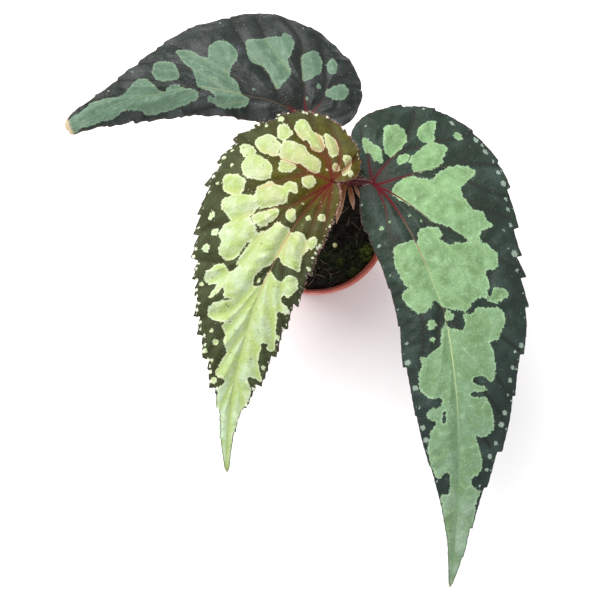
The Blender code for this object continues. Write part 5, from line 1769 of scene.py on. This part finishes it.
class BEGONIA_OT_stem(bpy.types.Operator):
    """Makes the cane with its petioles and their fine hairs"""

    bl_idname = "begonia.make_stem"
    bl_label = "Make stem"

    def execute(self, context):
        chosen = context.scene.begonia_stem
        stem(stem_finish(chosen.red, chosen.red_pale))
        stem_hairs(hair_finish("stem_hair", chosen.hair, (0.45, 0.22, 0.19)))
        return {"FINISHED"}


class BEGONIA_OT_sheaths(bpy.types.Operator):
    """Makes the papery sheaths at the top of the cane"""

    bl_idname = "begonia.make_sheaths"
    bl_label = "Make sheaths"

    def execute(self, context):
        chosen = context.scene.begonia_stem
        paper = sheath_finish(chosen.sheath_root, chosen.sheath_tip)
        for name in STIPULES:
            sheath(name, paper)
        return {"FINISHED"}


class BEGONIA_OT_pot(bpy.types.Operator):
    """Makes the round moulded pot with its drain holes"""

    bl_idname = "begonia.make_pot"
    bl_label = "Make pot"

    def execute(self, context):
        chosen = context.scene.begonia_pot
        pot(plastic_finish(chosen.colour, chosen.colour_pale), chosen.segments)
        return {"FINISHED"}


class BEGONIA_OT_soil(bpy.types.Operator):
    """Makes the soil with its crumbs, fibres and moss, and the fertiliser grain on it"""

    bl_idname = "begonia.make_soil"
    bl_label = "Make soil and moss"

    def execute(self, context):
        chosen = context.scene.begonia_soil
        soil(soil_finish(chosen.colour, chosen.moss_dark))
        crumbs(toned_finish("soil_crumb", chosen.colour, (0.22, 0.17, 0.14), 0.7, most=1.15), chosen.crumbs)
        coir = toned_finish("coir_fibre", shade(chosen.fibre, 0.08), chosen.fibre, 0.6, relief=0.03)
        fibres(coir, chosen.fibres)
        moss(toned_finish("moss_leaf", chosen.moss_dark, chosen.moss_light, 0.55, relief=0.02), chosen.shoots)
        granule(granule_finish(chosen.granule))
        return {"FINISHED"}


class BEGONIA_OT_stage(bpy.types.Operator):
    """Makes the pale floor, the soft light and the camera above the plant"""

    bl_idname = "begonia.make_stage"
    bl_label = "Make stage"

    def execute(self, context):
        chosen = context.scene.begonia_stage
        side = np.linspace(-FLOOR_HALF, FLOOR_HALF, 3)
        x, y = np.meshgrid(side, side, indexing="ij")
        mesh = bpy.data.meshes.new("studio_floor")
        points = np.stack([x, y, np.full(x.shape, FLOOR_DROP)], -1).reshape(-1, 3)
        mesh.from_pydata(points.tolist(), [], grid_faces(3, 3).tolist())
        mesh.materials.append(floor_finish(chosen.floor))
        link("studio_floor", mesh)

        light = bpy.data.lights.new("overhead_light", "AREA")
        light.shape = "SQUARE"
        light.size = chosen.light_size
        light.energy = chosen.light_power
        light.color = (1.0, 0.985, 0.96)
        lamp = link("overhead_light", light)
        lamp.location = LAMP_PLACE
        lamp.rotation_euler = (Vector(LIT_PLACE) - lamp.location).to_track_quat("-Z", "Y").to_euler()

        world = bpy.data.worlds.new("soft_world")
        world.use_nodes = True
        background = world.node_tree.nodes["Background"]
        background.inputs["Color"].default_value = (0.955, 0.975, 1.0, 1)
        background.inputs["Strength"].default_value = chosen.world_strength
        context.scene.world = world
        context.scene.view_settings.view_transform = "Standard"

        lens = bpy.data.cameras.new("photo_camera")
        lens.sensor_width = SENSOR
        lens.lens = SENSOR * chosen.camera_distance / (PHOTO_WIDTH * MM_A_PIXEL * MM)
        lens.clip_start, lens.clip_end = 0.01, 20
        camera = link("photo_camera", lens)
        back = Vector((0, -math.cos(chosen.camera_elevation), math.sin(chosen.camera_elevation)))
        camera.location = Vector(LOOKED_AT) * MM + back * chosen.camera_distance
        camera.rotation_euler = back.to_track_quat("Z", "Y").to_euler()
        context.scene.camera = camera
        return {"FINISHED"}


# Panel and registration

STEPS = (
    (BEGONIA_OT_leaves, "begonia_leaves"),
    (BEGONIA_OT_stem, "begonia_stem"),
    (BEGONIA_OT_sheaths, None),
    (BEGONIA_OT_pot, "begonia_pot"),
    (BEGONIA_OT_soil, "begonia_soil"),
    (BEGONIA_OT_stage, "begonia_stage"),
)
SETTINGS = {
    "begonia_leaves": BegoniaLeafSettings,
    "begonia_stem": BegoniaStemSettings,
    "begonia_pot": BegoniaPotSettings,
    "begonia_soil": BegoniaSoilSettings,
    "begonia_stage": BegoniaStageSettings,
}


class BEGONIA_PT_sidebar(bpy.types.Panel):
    """Lists the steps that build the plant, each with its settings"""

    bl_idname = "BEGONIA_PT_sidebar"
    bl_label = "Potted begonia"
    bl_space_type = "VIEW_3D"
    bl_region_type = "UI"
    bl_category = "Begonia"

    def draw(self, context):
        for operator, label in STEPS:
            box = self.layout.box()
            box.operator(operator.bl_idname)
            if label:
                chosen = getattr(context.scene, label)
                for key in SETTINGS[label].__annotations__:
                    box.prop(chosen, key)


CLASSES = (*SETTINGS.values(), *(operator for operator, _ in STEPS), BEGONIA_PT_sidebar)


def register():
    for kind in CLASSES:
        bpy.utils.register_class(kind)
    for label, kind in SETTINGS.items():
        setattr(bpy.types.Scene, label, PointerProperty(type=kind))


def unregister():
    for label in SETTINGS:
        delattr(bpy.types.Scene, label)
    for kind in reversed(CLASSES):
        bpy.utils.unregister_class(kind)


def main():
    """Registers the add-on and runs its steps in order."""
    register()
    bpy.ops.begonia.make_leaves()
    bpy.ops.begonia.make_stem()
    bpy.ops.begonia.make_sheaths()
    bpy.ops.begonia.make_pot()
    bpy.ops.begonia.make_soil()
    bpy.ops.begonia.make_stage()
    bpy.context.view_layer.update()


if __name__ == "__main__":
    main()
